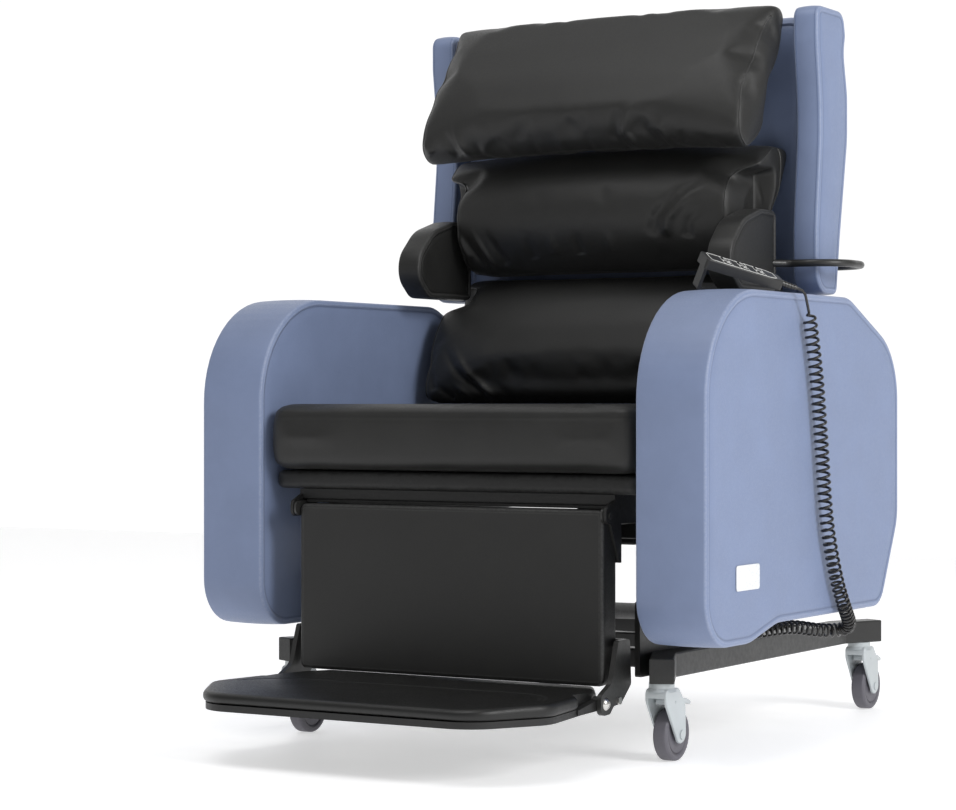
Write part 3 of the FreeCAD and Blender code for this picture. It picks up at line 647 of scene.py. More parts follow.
def beside(points: np.ndarray, path: np.ndarray) -> tuple[np.ndarray, np.ndarray]:
    """Shortest distance of each point to a polyline, and how far along it the foot is.

    Formula: the foot of the point on each run is a + t * d with t held to 0-1, and the nearest wins.

    Args:
        points: the points, one a row.
        path: the polyline.

    Returns:
        Distances, and shares of the polyline from 0 at its start to 1 at its end.
    """
    way = np.diff(path, axis=0)
    lengths = np.linalg.norm(way, axis=1)
    run = np.concatenate([[0.0], np.cumsum(lengths)])
    best, share = np.full(len(points), 1e9), np.zeros(len(points))
    for a, d, before, length in zip(path[:-1], way, run, lengths):
        t = np.clip((points - a) @ d / (d @ d + 1e-12), 0, 1)
        gap = np.linalg.norm(points - a - t[:, None] * d, axis=1)
        share = np.where(gap < best, (before + t * length) / run[-1], share)
        best = np.minimum(best, gap)
    return best, share


def eased(value: np.ndarray, low: float, high: float) -> np.ndarray:
    """A smooth step from 0 at low to 1 at high: 3t^2 - 2t^3 of the held share t."""
    t = np.clip((value - low) / (high - low), 0, 1)
    return t * t * (3 - 2 * t)


# -------------------------------------------------------------------------------------- soft pieces
@dataclass(frozen=True)
class Fold:
    """A soft crease or ridge in a cushion's front, from the seam that it starts at, in (X, Z)."""

    line: list[Pair]
    width: float
    height: float


@dataclass
class Stuffing:
    """Swells cushions by a cloth simulation, all of them in one run of the clock."""

    voxel: float = 0.006
    pressure: float = 3.2
    quality: int = 4
    mass: float = 0.3
    tension: float = 8.0
    compression: float = 6.0
    bending: float = 4.0
    frames: int = 20
    calm: int = 7
    waiting: list[tuple[bpy.types.Object, float, Callable[[bpy.types.Object], None]]] = field(
        default_factory=list)

    def take(self, piece: bpy.types.Object, cap: float, settle: Callable[[bpy.types.Object], None]
             ) -> None:
        """Queue a cushion, the most that any point of it may move, and its closing formula."""
        self.waiting.append((piece, cap, settle))

    def run(self) -> None:
        """Remesh the queued cushions, inflate their cloth, cap its moves, calm and subdivide it."""
        starts = {}
        for piece, _, _ in self.waiting:
            remesh = piece.modifiers.new("even", "REMESH")
            remesh.mode, remesh.voxel_size = "VOXEL", self.voxel
            self._apply(piece, "even")
            starts[piece.name] = vertices_of(piece)
            cloth = piece.modifiers.new("cloth", "CLOTH")
            cloth.settings.quality, cloth.settings.mass = self.quality, self.mass
            cloth.settings.tension_stiffness = self.tension
            cloth.settings.compression_stiffness = self.compression
            cloth.settings.bending_stiffness = self.bending
            cloth.settings.use_pressure = True
            cloth.settings.uniform_pressure_force = self.pressure
            cloth.settings.effector_weights.gravity = 0
            cloth.collision_settings.use_collision = False
            cloth.point_cache.frame_end = self.frames
        for number in range(1, self.frames + 1):
            bpy.context.scene.frame_set(number)
        for piece, cap, settle in self.waiting:
            self._apply(piece, "cloth")
            move = vertices_of(piece) - starts[piece.name]
            size = np.linalg.norm(move, axis=1)[:, None]
            coords = starts[piece.name] + move * np.minimum(1, cap / np.maximum(size, 1e-9))
            set_vertices(piece, coords)
            calmer = piece.modifiers.new("calmer", "SMOOTH")
            calmer.factor, calmer.iterations = 0.5, self.calm
            self._apply(piece, "calmer")
            finer = piece.modifiers.new("finer", "SUBSURF")
            finer.levels = finer.render_levels = 1
            self._apply(piece, "finer")
            settle(piece)
            piece.data.shade_smooth()
        bpy.context.scene.frame_set(1)

    @staticmethod
    def _apply(piece: bpy.types.Object, name: str) -> None:
        """Make one modifier's result the piece's own mesh."""
        graph = bpy.context.evaluated_depsgraph_get()
        done = bpy.data.meshes.new_from_object(piece.evaluated_get(graph))
        piece.modifiers.remove(piece.modifiers[name])
        old, piece.data = piece.data, done
        title = old.name
        bpy.data.meshes.remove(old)
        done.name = title


@dataclass
class BackCushion:
    """One waterfall cushion of the back, lofted between its two side panels."""

    name: str
    side: list[Triple]
    half_width: float
    widths: list[Pair]
    crown: float
    top_crown: float
    folds: list[Fold]
    low_limit: float
    high_limit: float
    waist: float = 1.0
    waist_low: float = 0.0
    waist_high: float = 0.0
    swell_cap: float = 0.016
    start_inset: float = 0.003
    easing: float = 0.018
    pad_rear: float = 0.180
    shell_front: float = 0.2612

    def build(self, wardrobe: Wardrobe, stuffing: Stuffing) -> bpy.types.Object:
        """Make the cushion's cover and queue its stuffing.

        Args:
            wardrobe: the finishes.
            stuffing: the simulation that swells it.

        Returns:
            The cushion.
        """
        half = self.half_width - self.start_inset
        slab = Slab(self.side, -half, half, Across.X, edge=0.010, crown=0.004, step=0.012, count=110,
                    face_rings=8)
        cushion = slab.build(self.name + "_cover", self._shaped)
        wardrobe.dress(cushion, Slot.BLACK)
        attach(cushion, "backrest")
        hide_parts(self.name)
        stuffing.take(cushion, self.swell_cap, self._settled)
        return cushion

    def _shaped(self, p: np.ndarray) -> np.ndarray:
        """Width by height, and a crown that fades towards both ends.

        Formula: X is scaled by the width at its Y and Z; with u = X / half width, the front moves
        forward by crown * (1 - u^2) and the top rises by top_crown * (1 - u^2), each weighted by how
        far forward or up the point is.
        """
        q = p.copy()
        q[:, 0] *= self._width(p[:, 1], p[:, 2]) / self.half_width
        u = np.clip(np.abs(p[:, 0]) / self.half_width, 0, 1)
        rear, front = p[:, 1].max(), p[:, 1].min()
        low, high = p[:, 2].min(), p[:, 2].max()
        ahead = (rear - p[:, 1]) / (rear - front)
        up = (p[:, 2] - low) / (high - low)
        q[:, 1] -= self.crown * (1 - u ** 2) * ahead
        q[:, 2] += self.top_crown * (1 - u ** 2) * np.clip(up * 1.6 - 0.6, 0, 1)
        return q

    def _width(self, y: np.ndarray, z: np.ndarray) -> np.ndarray:
        """Half width at each place: the table's, drawn in to the waist beside the lateral pads.

        Formula: the waist holds where Y is in front of the pads' rear and Z lies within its limits,
        and each edge of it eases over the length `easing`.
        """
        wide = np.interp(z, *np.array(self.widths).T)
        ahead = 1 - eased(y, self.pad_rear, self.pad_rear + self.easing)
        level = eased(z, self.waist_low - self.easing, self.waist_low) * (
            1 - eased(z, self.waist_high, self.waist_high + self.easing))
        return wide + (np.minimum(wide, self.waist) - wide) * ahead * level

    def _settled(self, cushion: bpy.types.Object) -> None:
        """Press folds into the swollen cover, keep it off its neighbours, and leave it unmarked.

        Formula: each fold moves the front by 1.25 * height * exp(-(d / width)^2), d the distance to
        its line in X and Z, rising over its first eighth and dying away from a quarter of it on. The
        rear is held in front of the shell, and the ends inside the wings and the pads.
        """
        p = vertices_of(cushion)
        flat = p[:, [0, 2]]
        facing = np.clip((p[:, 1].max() - p[:, 1]) / 0.05 - 0.3, 0, 1)
        for fold in self.folds:
            near, share = beside(flat, np.array(fold.line))
            fade = eased(share, 0.0, 0.12) * (1 - eased(share, 0.25, 1.0))
            p[:, 1] -= fold.height * 1.25 * np.exp(-((near / fold.width) ** 2)) * facing * fade
        most = np.minimum(self._width(p[:, 1] - SHIFT, p[:, 2]) + 0.0085, self.half_width)
        p[:, 0] = np.clip(p[:, 0], -most, most)
        p[:, 1] = np.minimum(p[:, 1], self.shell_front + SHIFT)
        p[:, 2] = np.clip(p[:, 2], self.low_limit, self.high_limit)
        set_vertices(cushion, p)
        mark(cushion, "groove_shade", np.zeros(len(p)))
        mark(cushion, "wear_and_highlight", np.zeros(len(p)))

    def seams(self, cushion: bpy.types.Object, wardrobe: Wardrobe) -> None:
        """Lay a welt along the front edge of both side panels, on the finished surface.

        Args:
            cushion: the finished cover.
            wardrobe: the finishes.
        """
        outline = outline_of(self.side, 140)
        middle = (outline.min(0) + outline.max(0)) / 2
        reach = outline[outline[:, 0] < middle[0] + 0.035]
        order = np.argsort(np.unwrap(np.arctan2(reach[:, 1] - middle[1], -(reach[:, 0] - middle[0]))))
        reach = resampled(reach[order], 90, False)
        bpy.context.view_layer.update()
        for side, sign in (("right", 1), ("left", -1)):
            wide = self._width(reach[:, 0], reach[:, 1]) - 0.004
            line = np.stack([sign * wide, reach[:, 0] + SHIFT, reach[:, 1]], -1)
            found = [cushion.closest_point_on_mesh(Vector(point)) for point in line]
            spots = np.array([hit[1] for hit in found])
            spots = spots[1:-1] / 2 + (spots[:-2] + spots[2:]) / 4
            welt = tube(self.name + "_welt_" + side, resampled(spots, 110, False), 0.0016, False)
            # The welt takes the lighter copy of the black vinyl as a painted highlight.
            wardrobe.dress(welt, Slot.WELT)
            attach(welt, "backrest")


@dataclass
class Backrest:
    """The reclining back: three cushions, shell, wings with stitched fronts, and lateral pads."""

    wing_inner: float = 0.332
    wing_outer: float = 0.376
    shell: tuple[float, float, float, float] = (0.505, 1.190, 0.262, 0.330)
    cushions: list[BackCushion] = field(default_factory=list)

    def __post_init__(self) -> None:
        """Set out the three cushions."""
        self.cushions = [
            BackCushion(
                "cushion_head",
                [(0.196, 1.205, 0.020), (0.140, 1.140, 0.25), (0.094, 1.080, 0.20), (0.064, 1.020, 0.12),
                 (0.058, 0.972, 0.045), (0.090, 0.950, 0.016), (0.150, 0.985, 0.12), (0.226, 1.130, 0.20),
                 (0.236, 1.200, 0.020)],
                0.318, [(0.94, 0.316), (0.975, 0.314), (1.02, 0.310), (1.06, 0.308), (1.14, 0.312),
                        (1.215, 0.320)],
                0.012, 0.012,
                [Fold([(-0.235, 0.965), (-0.262, 1.020)], 0.007, -0.0040),
                 Fold([(-0.215, 0.962), (-0.236, 1.026)], 0.006, 0.0045),
                 Fold([(-0.190, 0.962), (-0.200, 1.000)], 0.008, -0.0030),
                 Fold([(-0.285, 0.970), (-0.300, 1.000)], 0.008, 0.0040),
                 Fold([(-0.130, 0.960), (-0.135, 0.998)], 0.010, 0.0025),
                 Fold([(-0.085, 0.960), (-0.084, 1.000)], 0.009, -0.0025),
                 Fold([(-0.030, 0.960), (-0.030, 1.002)], 0.010, 0.0025),
                 Fold([(0.020, 0.960), (0.024, 0.998)], 0.008, -0.0028),
                 Fold([(0.090, 0.958), (0.075, 0.985), (0.082, 1.015), (0.105, 1.045)], 0.008, -0.0055),
                 Fold([(0.112, 0.958), (0.098, 0.988), (0.106, 1.016), (0.125, 1.048)], 0.006, 0.0052),
                 Fold([(0.150, 0.965), (0.138, 0.990), (0.146, 1.014)], 0.007, -0.0040),
                 Fold([(0.172, 0.962), (0.164, 0.990), (0.172, 1.015)], 0.006, 0.0042),
                 Fold([(0.200, 0.968), (0.196, 0.990)], 0.008, -0.0030),
                 Fold([(0.272, 0.956), (0.212, 0.982)], 0.006, -0.0040)],
                0.949, 1.214),
            BackCushion(
                "cushion_middle",
                [(0.190, 0.970, 0.030), (0.150, 0.940, 0.08), (0.100, 0.890, 0.06), (0.104, 0.830, 0.10),
                 (0.140, 0.768, 0.045), (0.258, 0.7655, 0.006), (0.258, 0.972, 0.012)],
                0.312, [(0.760, 0.285), (0.860, 0.290), (0.900, 0.302), (0.955, 0.311), (0.975, 0.311)],
                0.026, 0.0,
                [Fold([(-0.215, 0.775), (-0.255, 0.850)], 0.007, -0.0050),
                 Fold([(-0.190, 0.772), (-0.232, 0.852)], 0.006, 0.0045),
                 Fold([(-0.165, 0.778), (-0.200, 0.845)], 0.008, -0.0045),
                 Fold([(-0.240, 0.790), (-0.268, 0.850)], 0.006, 0.0040),
                 Fold([(-0.105, 0.785), (-0.112, 0.840)], 0.010, -0.0022),
                 Fold([(-0.060, 0.790), (-0.062, 0.838)], 0.010, 0.0022),
                 Fold([(-0.010, 0.790), (-0.012, 0.836)], 0.009, -0.0024),
                 Fold([(0.050, 0.790), (0.050, 0.835)], 0.009, 0.0022),
                 Fold([(0.130, 0.815), (0.138, 0.850), (0.175, 0.890), (0.235, 0.925)], 0.009, -0.0048),
                 Fold([(0.155, 0.812), (0.162, 0.846), (0.200, 0.884), (0.250, 0.912)], 0.008, 0.0048),
                 Fold([(0.190, 0.812), (0.196, 0.840), (0.230, 0.872)], 0.008, -0.0035)],
                0.7645, 0.976, 0.264, 0.700, 0.918),
            BackCushion(
                "cushion_lumbar",
                [(0.216, 0.759, 0.030), (0.150, 0.726, 0.08), (0.114, 0.670, 0.14), (0.088, 0.600, 0.12),
                 (0.078, 0.5420, 0.016), (0.258, 0.5420, 0.006), (0.258, 0.7615, 0.006)],
                0.322, [(0.535, 0.322), (0.64, 0.320), (0.70, 0.312), (0.765, 0.300)],
                0.024, 0.0,
                [Fold([(-0.185, 0.545), (-0.235, 0.590), (-0.285, 0.650)], 0.007, -0.0055),
                 Fold([(-0.165, 0.545), (-0.215, 0.592), (-0.262, 0.648)], 0.007, 0.0055),
                 Fold([(-0.215, 0.545), (-0.255, 0.580)], 0.006, 0.0042),
                 Fold([(-0.255, 0.546), (-0.285, 0.575)], 0.006, -0.0042),
                 Fold([(-0.130, 0.545), (-0.175, 0.580)], 0.008, -0.0030),
                 Fold([(-0.290, 0.560), (-0.305, 0.620)], 0.008, -0.0035),
                 Fold([(0.200, 0.545), (0.240, 0.600)], 0.008, -0.0040),
                 Fold([(0.225, 0.545), (0.262, 0.598)], 0.007, 0.0038)],
                0.5400, 0.7625, 0.264, 0.716, 0.800)]

    def build(self, wardrobe: Wardrobe, stuffing: Stuffing) -> None:
        """Make the back's pieces.

        Args:
            wardrobe: the finishes.
            stuffing: the simulation that swells the cushions.
        """
        for cushion in self.cushions:
            cushion.build(wardrobe, stuffing)
            LOG.info("%s cover queued for stuffing", cushion.name)
        self._shell(wardrobe)
        for side, sign in (("right", 1), ("left", -1)):
            self._wing(wardrobe, side, sign)
            self._lateral(wardrobe, side, sign)
        LOG.info("back shell, wings and lateral pads made")

    def finish(self, wardrobe: Wardrobe) -> None:
        """Sew the welts once the cushions have their final shape."""
        for cushion in self.cushions:
            cushion.seams(bpy.data.objects[cushion.name + "_cover"], wardrobe)
        LOG.info("cushion welts sewn")

    def _shell(self, wardrobe: Wardrobe) -> None:
        """The covered shell with black faces behind the cushions as painted shade in the gaps between them,
        a crowned rear, and grommets.
        """
        low, high, front, rear = self.shell
        wide = self.wing_inner - 0.002
        slab = Slab([(-wide, low, 0.022), (wide, low, 0.022), (wide, high, 0.026), (-wide, high, 0.026)],
                    front, rear, Across.Y, edge=0.008, bead=0.0012, groove=0.0014, crown=0.0,
                    count=260, step=0.012, face_rings=30)

        def warp(p: np.ndarray) -> np.ndarray:
            """The rear swells by 9 mm * (1 - u^4)(1 - v^4); sewn lines are 3 mm troughs in it."""
            q = p.copy()
            u, v = p[:, 0] / wide, (2 * p[:, 2] - low - high) / (high - low)
            behind = np.clip((p[:, 1] - rear + 0.02) / 0.02, 0, 1)
            swell = 0.009 * np.clip(1 - u ** 4, 0, 1) * np.clip(1 - v ** 4, 0, 1)
            lines = sum(np.exp(-(((p[:, 2] - z) / 0.004) ** 2)) for z in (0.752, 1.040))
            q[:, 1] += behind * (swell - 0.003 * lines * np.clip(1 - u ** 6, 0, 1))
            return q

        shell = slab.build("back_shell_cover", warp)
        middle = np.empty(len(shell.data.polygons) * 3, np.float32)
        shell.data.polygons.foreach_get("center", middle)
        x, y, z = middle.reshape(-1, 3).T
        # Painted shade: black faces on the shell's front behind the cushions, where the gaps between them
        # fall into shade.
        painted_shade_lining = (y < front + SHIFT + 0.004) & (np.abs(x) < 0.300) & (z < 0.975)
        shell.data.polygons.foreach_set("material_index", painted_shade_lining.astype(np.int32))
        wardrobe.dress(shell, Slot.BLUE, Slot.BLACK)
        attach(shell, "backrest")
        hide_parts("back_shell")
        section = np.array([(0.0135, -0.004), (0.019, -0.004), (0.021, 0.004), (0.019, 0.0085),
                            (0.0150, 0.0095), (0.0133, 0.006)])
        steps, bar_x, bar_z = 48, 0.2705, 1.0
        angle = np.linspace(0, 2 * math.pi, steps, endpoint=False)[:, None]
        depth = np.broadcast_to(rear + SHIFT + section[None, :, 1], (steps, len(section)))
        quads = ring_faces(steps + 1, len(section)) % (steps * len(section))
        for side, sign in (("right", 1), ("left", -1)):
            rings = np.stack([sign * bar_x + section[None, :, 0] * np.cos(angle), depth,
                              bar_z + section[None, :, 0] * np.sin(angle)], -1)
            grommet = closed_mesh("push_bar_grommet_" + side, rings.reshape(-1, 3), quads,
                                  np.empty((0, 3), int))
            wardrobe.dress(grommet, Slot.DRIVE)
            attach(grommet, "backrest")

    def _wing(self, wardrobe: Wardrobe, side: str, sign: int) -> None:
        """A head wing with welted outer edges and two stitched rows down its front.

        Args:
            wardrobe: the finishes.
            side: right or left.
            sign: 1 or -1 in X.
        """
        outline = [(0.209, 1.199, 0.020), (0.209, 1.140, 0.10), (0.2265, 1.010, 0.50), (0.207, 0.830, 0.30),
                   (0.208, 0.722, 0.060), (0.290, 0.722, 0.008), (0.304, 0.815, 0.30),
                   (0.336, 0.985, 0.20), (0.336, 1.060, 0.10), (0.320, 1.130, 0.08),
                   (0.327, 1.160, 0.018), (0.318, 1.199, 0.030)]
        low, high = sorted((sign * self.wing_inner, sign * self.wing_outer))
        slab = Slab(outline, low, high, Across.X, edge=0.004, groove=0.0009, bead=0.0006,
                    crown=0.0015, band=0.0012, count=320, step=0.004, face_rings=8)
        wing = slab.build("wing_cover_" + side)
        wardrobe.dress(wing, Slot.BLUE)
        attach(wing, "backrest")
        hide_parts("wing_" + side)
        line = outline_of(outline, 320)
        front = line[(line[:, 0] < 0.232) & (line[:, 1] > 0.742) & (line[:, 1] < 1.196)]
        front = resampled(front[np.argsort(-front[:, 1])], 160, False)
        proud, length, pitch, radius = 0.0004, 0.0026, 0.0042, 0.0005
        for row, x in (("inner", 0.0052), ("outer", 0.0388)):
            place = np.full(len(front), sign * (self.wing_inner + x))
            path = np.stack([place, front[:, 0] - proud + SHIFT, front[:, 1]], -1)
            thread = stitches("wing_stitches_%s_%s" % (row, side), path, length, pitch, radius)
            wardrobe.dress(thread, Slot.THREAD)
            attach(thread, "backrest")

    def _lateral(self, wardrobe: Wardrobe, side: str, sign: int) -> None:
        """A D-shaped pad with a welt round both faces."""
        outline = [(0.178, 0.722, 0.012), (0.178, 0.857, 0.012), (0.120, 0.858, 0.060),
                   (0.052, 0.838, 0.080), (0.004, 0.792, 0.050), (0.004, 0.752, 0.040),
                   (0.040, 0.722, 0.030)]
        low, high = sorted((sign * 0.2735, sign * 0.3165))
        slab = Slab(outline, low, high, Across.X, edge=0.0035, bead=0.0011, groove=0.0012, crown=0.0005,
                    band=0.0010, count=170, step=0.006, face_rings=8)
        pad = slab.build("lateral_cover_" + side)
        wardrobe.dress(pad, Slot.BLACK)
        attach(pad, "lateral_" + side)
        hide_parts("lateral_pad_" + side)


@dataclass
class SeatUnit:
    """Seat cushion, covered pan and arm panels."""

    arm: list[Triple] = field(default_factory=lambda: [
        (-0.366, 0.180, 0.130), (-0.366, 0.711, 0.170), (0.160, 0.711, 0.090), (0.366, 0.624, 0.118),
        (0.366, 0.345, 0.090), (0.292, 0.204, 0.045), (-0.115, 0.204, 0.120), (-0.215, 0.180, 0.120)])
    arm_inner: float = 0.3375
    arm_outer: float = 0.4555

    def build(self, wardrobe: Wardrobe, stuffing: Stuffing) -> None:
        """Make the seat's upholstery.

        Args:
            wardrobe: the finishes.
            stuffing: the simulation that swells the seat cushion.
        """
        for side, sign in (("right", 1), ("left", -1)):
            low, high = sorted((sign * self.arm_inner, sign * self.arm_outer))
            slab = Slab(self.arm, low + 0.0012, high - 0.0012, Across.X, edge=0.0045, bead=0.0010,
                        groove=0.0009, crown=0.0012, band=0.0015, count=420, step=0.008, face_rings=22)
            arm = slab.build("arm_cover_" + side)
            wardrobe.dress(arm, Slot.BLUE)
            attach(arm, "seat")
            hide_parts("arm_panel_" + side)
        pan = Slab([(-0.330, -0.340, 0.016), (0.330, -0.340, 0.016), (0.330, 0.185, 0.010),
                    (-0.330, 0.185, 0.010)], 0.4035, 0.4325, Across.Z, edge=0.0105, crown=0.0,
                   count=240, step=0.004, face_rings=6).build("seat_pan_cover")
        wardrobe.dress(pan, Slot.PAN)
        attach(pan, "seat")
        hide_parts("seat_pan")
        seat = Slab([(-0.335, -0.3635, 0.030), (0.335, -0.3635, 0.030), (0.335, 0.183, 0.022),
                     (-0.335, 0.183, 0.022)], 0.4375, 0.5345, Across.Z, edge=0.016, crown=0.0,
                    band=0.002, count=260, step=0.008, face_rings=30).build("seat_cushion_cover")
        wardrobe.dress(seat, Slot.BLACK)
        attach(seat, "seat")
        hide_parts("seat_cushion")
        stuffing.take(seat, 0.005, self._settled)
        LOG.info("arm panels, pan and seat cushion made")

    def _settled(self, seat: bpy.types.Object) -> None:
        """Hold the cushion between pan, arms and lumbar cushion, and press its front roll.

        Formula: a trough of 1.6 mm * exp(-((z - 0.519) / 5 mm)^2) runs along the front, so that the
        top edge stands out as a roll above it. The trough is darkened as painted shade.
        """
        p = vertices_of(seat)
        roll_z = 0.519
        front = np.clip((-0.300 + SHIFT - p[:, 1]) / 0.02, 0, 1)
        p[:, 1] += 0.0016 * np.exp(-(((p[:, 2] - roll_z) / 0.005) ** 2)) * front
        p[:, 0] = np.clip(p[:, 0], -0.3366, 0.3366)
        p[:, 1] = np.clip(p[:, 1], -0.3665 + SHIFT, 0.1850 + SHIFT)
        p[:, 2] = np.clip(p[:, 2], 0.4345, 0.5388)
        set_vertices(seat, p)
        # Painted shade in the trough under the front roll.
        mark(seat, "groove_shade", 0.8 * np.exp(-(((p[:, 2] - roll_z) / 0.0016) ** 2)) * front)
        mark(seat, "wear_and_highlight", np.zeros(len(p)))


@dataclass
class LegRest:
    """Calf pad and footplate pad."""

    foot: list[Triple] = field(default_factory=lambda: [
        (0.240, -0.308, 0.010), (0.266, -0.352, 0.020), (0.284, -0.425, 0.060),
        (0.303, -0.545, 0.060), (0.236, -0.660, 0.070)])

    def build(self, wardrobe: Wardrobe) -> None:
        """Make the two pads.

        Args:
            wardrobe: the finishes.
        """
        calf = Slab([(-0.275, 0.117, 0.010), (0.275, 0.117, 0.010), (0.275, 0.380, 0.010),
                     (-0.275, 0.380, 0.010)], -0.347, -0.3035, Across.Y, edge=0.0055, crown=0.0,
                    count=300, step=0.005, face_rings=30)
        pad = calf.build("legrest_cover", self._calf)
        wardrobe.dress(pad, Slot.BLACK)
        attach(pad, "legrest")
        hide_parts("legrest_pad")
        plan = self.foot + [(-x, y, r) for x, y, r in self.foot[::-1]]
        slab = Slab(plan, 0.0932, 0.1125, Across.Z, edge=0.0085, crown=0.0, count=420, step=0.003,
                    face_rings=70)
        board = slab.build("footplate_cover", self._foot)
        coords = vertices_of(board) - (0, SHIFT, 0)
        near, _ = beside(coords[:, :2], self._crease())
        top = np.clip((coords[:, 2] - 0.104) / 0.003, 0, 1)
        # Painted shade along the sewn crease on the top.
        mark(board, "groove_shade", np.exp(-((near / 0.0020) ** 2)) * top * 0.7)
        # Wear and painted highlight: a paler line 4 mm beside the crease, on its shoulder.
        mark(board, "wear_and_highlight", 0.6 * np.exp(-(((near - 0.004) / 0.002) ** 2)) * top)
        wardrobe.dress(board, Slot.FOOT)
        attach(board, "footplate")
        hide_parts("footplate_pad")
        LOG.info("calf pad and footplate pad made")

    @staticmethod
    def _crease() -> np.ndarray:
        """The sewn line across the footplate, swept forward at both ends."""
        half = np.array([(0.0, -0.452), (0.190, -0.452), (0.225, -0.460), (0.250, -0.482),
                         (0.268, -0.520)])
        return np.vstack([half[::-1] * (-1, 1), half[1:]])

    def _calf(self, p: np.ndarray) -> np.ndarray:
        """Crown the front and round the lower rear edge.

        Formula: the front stands out by 3 mm * (1 - u^2)(1 - v^2), u and v across and up it. Behind
        the arc of 36 mm radius, Y is held on the arc.
        """
        q = p.copy()
        u, v = p[:, 0] / 0.275, (p[:, 2] - 0.2485) / 0.1315
        ahead = eased(-p[:, 1], 0.325, 0.345)
        crown = 0.003 * np.clip(1 - u ** 2, 0, 1) * np.clip(1 - v ** 2, 0, 1) * ahead
        arc_y, arc_z, radius = -0.339, 0.153, 0.036
        drop = np.clip(arc_z - p[:, 2], 0, radius - 0.0005)
        limit = arc_y + np.sqrt(radius ** 2 - drop ** 2)
        q[:, 1] = np.minimum(p[:, 1], limit) - crown
        return q

    def _foot(self, p: np.ndarray) -> np.ndarray:
        """Crown the top, roll its front edge down, crease it, and leave room for the hinge arms.

        Formula: on top Z rises by 1.2 mm, falls by 4 mm * ((-0.56 - y) / 0.10)^2 in front of
        y = -0.56, and dips by 1.6 mm * exp(-(d / 3 mm)^2) at distance d from the crease. |X| is held
        at 272 mm behind y = -0.443.
        """
        q = p.copy()
        top = np.clip((p[:, 2] - 0.097) / 0.015, 0, 1)
        roll = np.clip((-0.560 - p[:, 1]) / 0.10, 0, 1) ** 2
        dip = np.exp(-((beside(p[:, :2], self._crease())[0] / 0.003) ** 2))
        q[:, 2] += top * (0.0012 - 0.004 * roll - 0.0016 * dip)
        behind = p[:, 1] > -0.443
        q[:, 0] = np.where(behind, np.clip(p[:, 0], -0.272, 0.272), p[:, 0])
        return q


# ---------------------------------------------------------------------------------------- hard parts
@dataclass
class Castors:
    """Wheels with a moulded rim ring, dished hub cover and rubber tread."""

    stems: dict[str, Pair] = field(default_factory=lambda: {
        "front_left": (-0.334, -0.271), "front_right": (0.334, -0.271),
        "rear_left": (-0.321, 0.514), "rear_right": (0.321, 0.514)})
    trail: float = 0.031
    radius: float = 0.040

    def build(self, wardrobe: Wardrobe) -> None:
        """Make the four wheels.

        Args:
            wardrobe: the finishes.
        """
        half = [(0.0134, 0.0042), (0.0134, 0.0082), (0.0112, 0.0088), (0.0098, 0.0150), (0.0096, 0.0210),
                (0.0104, 0.0268), (0.0102, 0.0278), (0.0082, 0.0284), (0.0082, 0.0296), (0.0104, 0.0302),
                (0.0116, 0.0316), (0.0119, 0.0345), (0.0116, 0.0372), (0.0106, 0.0386), (0.0100, 0.0389),
                (0.0096, 0.0396), (0.0086, 0.03990), (0.0060, 0.0400), (0.0, 0.0400)]
        right = np.array(half)
        profile = np.vstack([right, right[-2::-1] * (-1, 1)])
        middle = (profile[:, 1] + np.roll(profile, -1, 0)[:, 1]) / 2
        slots = np.where(middle > 0.0388, 0, np.where(middle > 0.0300, 1, 2))
        slots[-1] = 2
        for corner, (x, y) in self.stems.items():
            wheel = turned("wheel_" + corner, profile, (x, y + self.trail + SHIFT, self.radius), 96, slots)
            wardrobe.dress(wheel, Slot.TYRE, Slot.CASTOR, Slot.HUB)
            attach(wheel, "wheel_" + corner)
            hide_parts("castor_wheel_" + corner)
        LOG.info("four castor wheels turned")


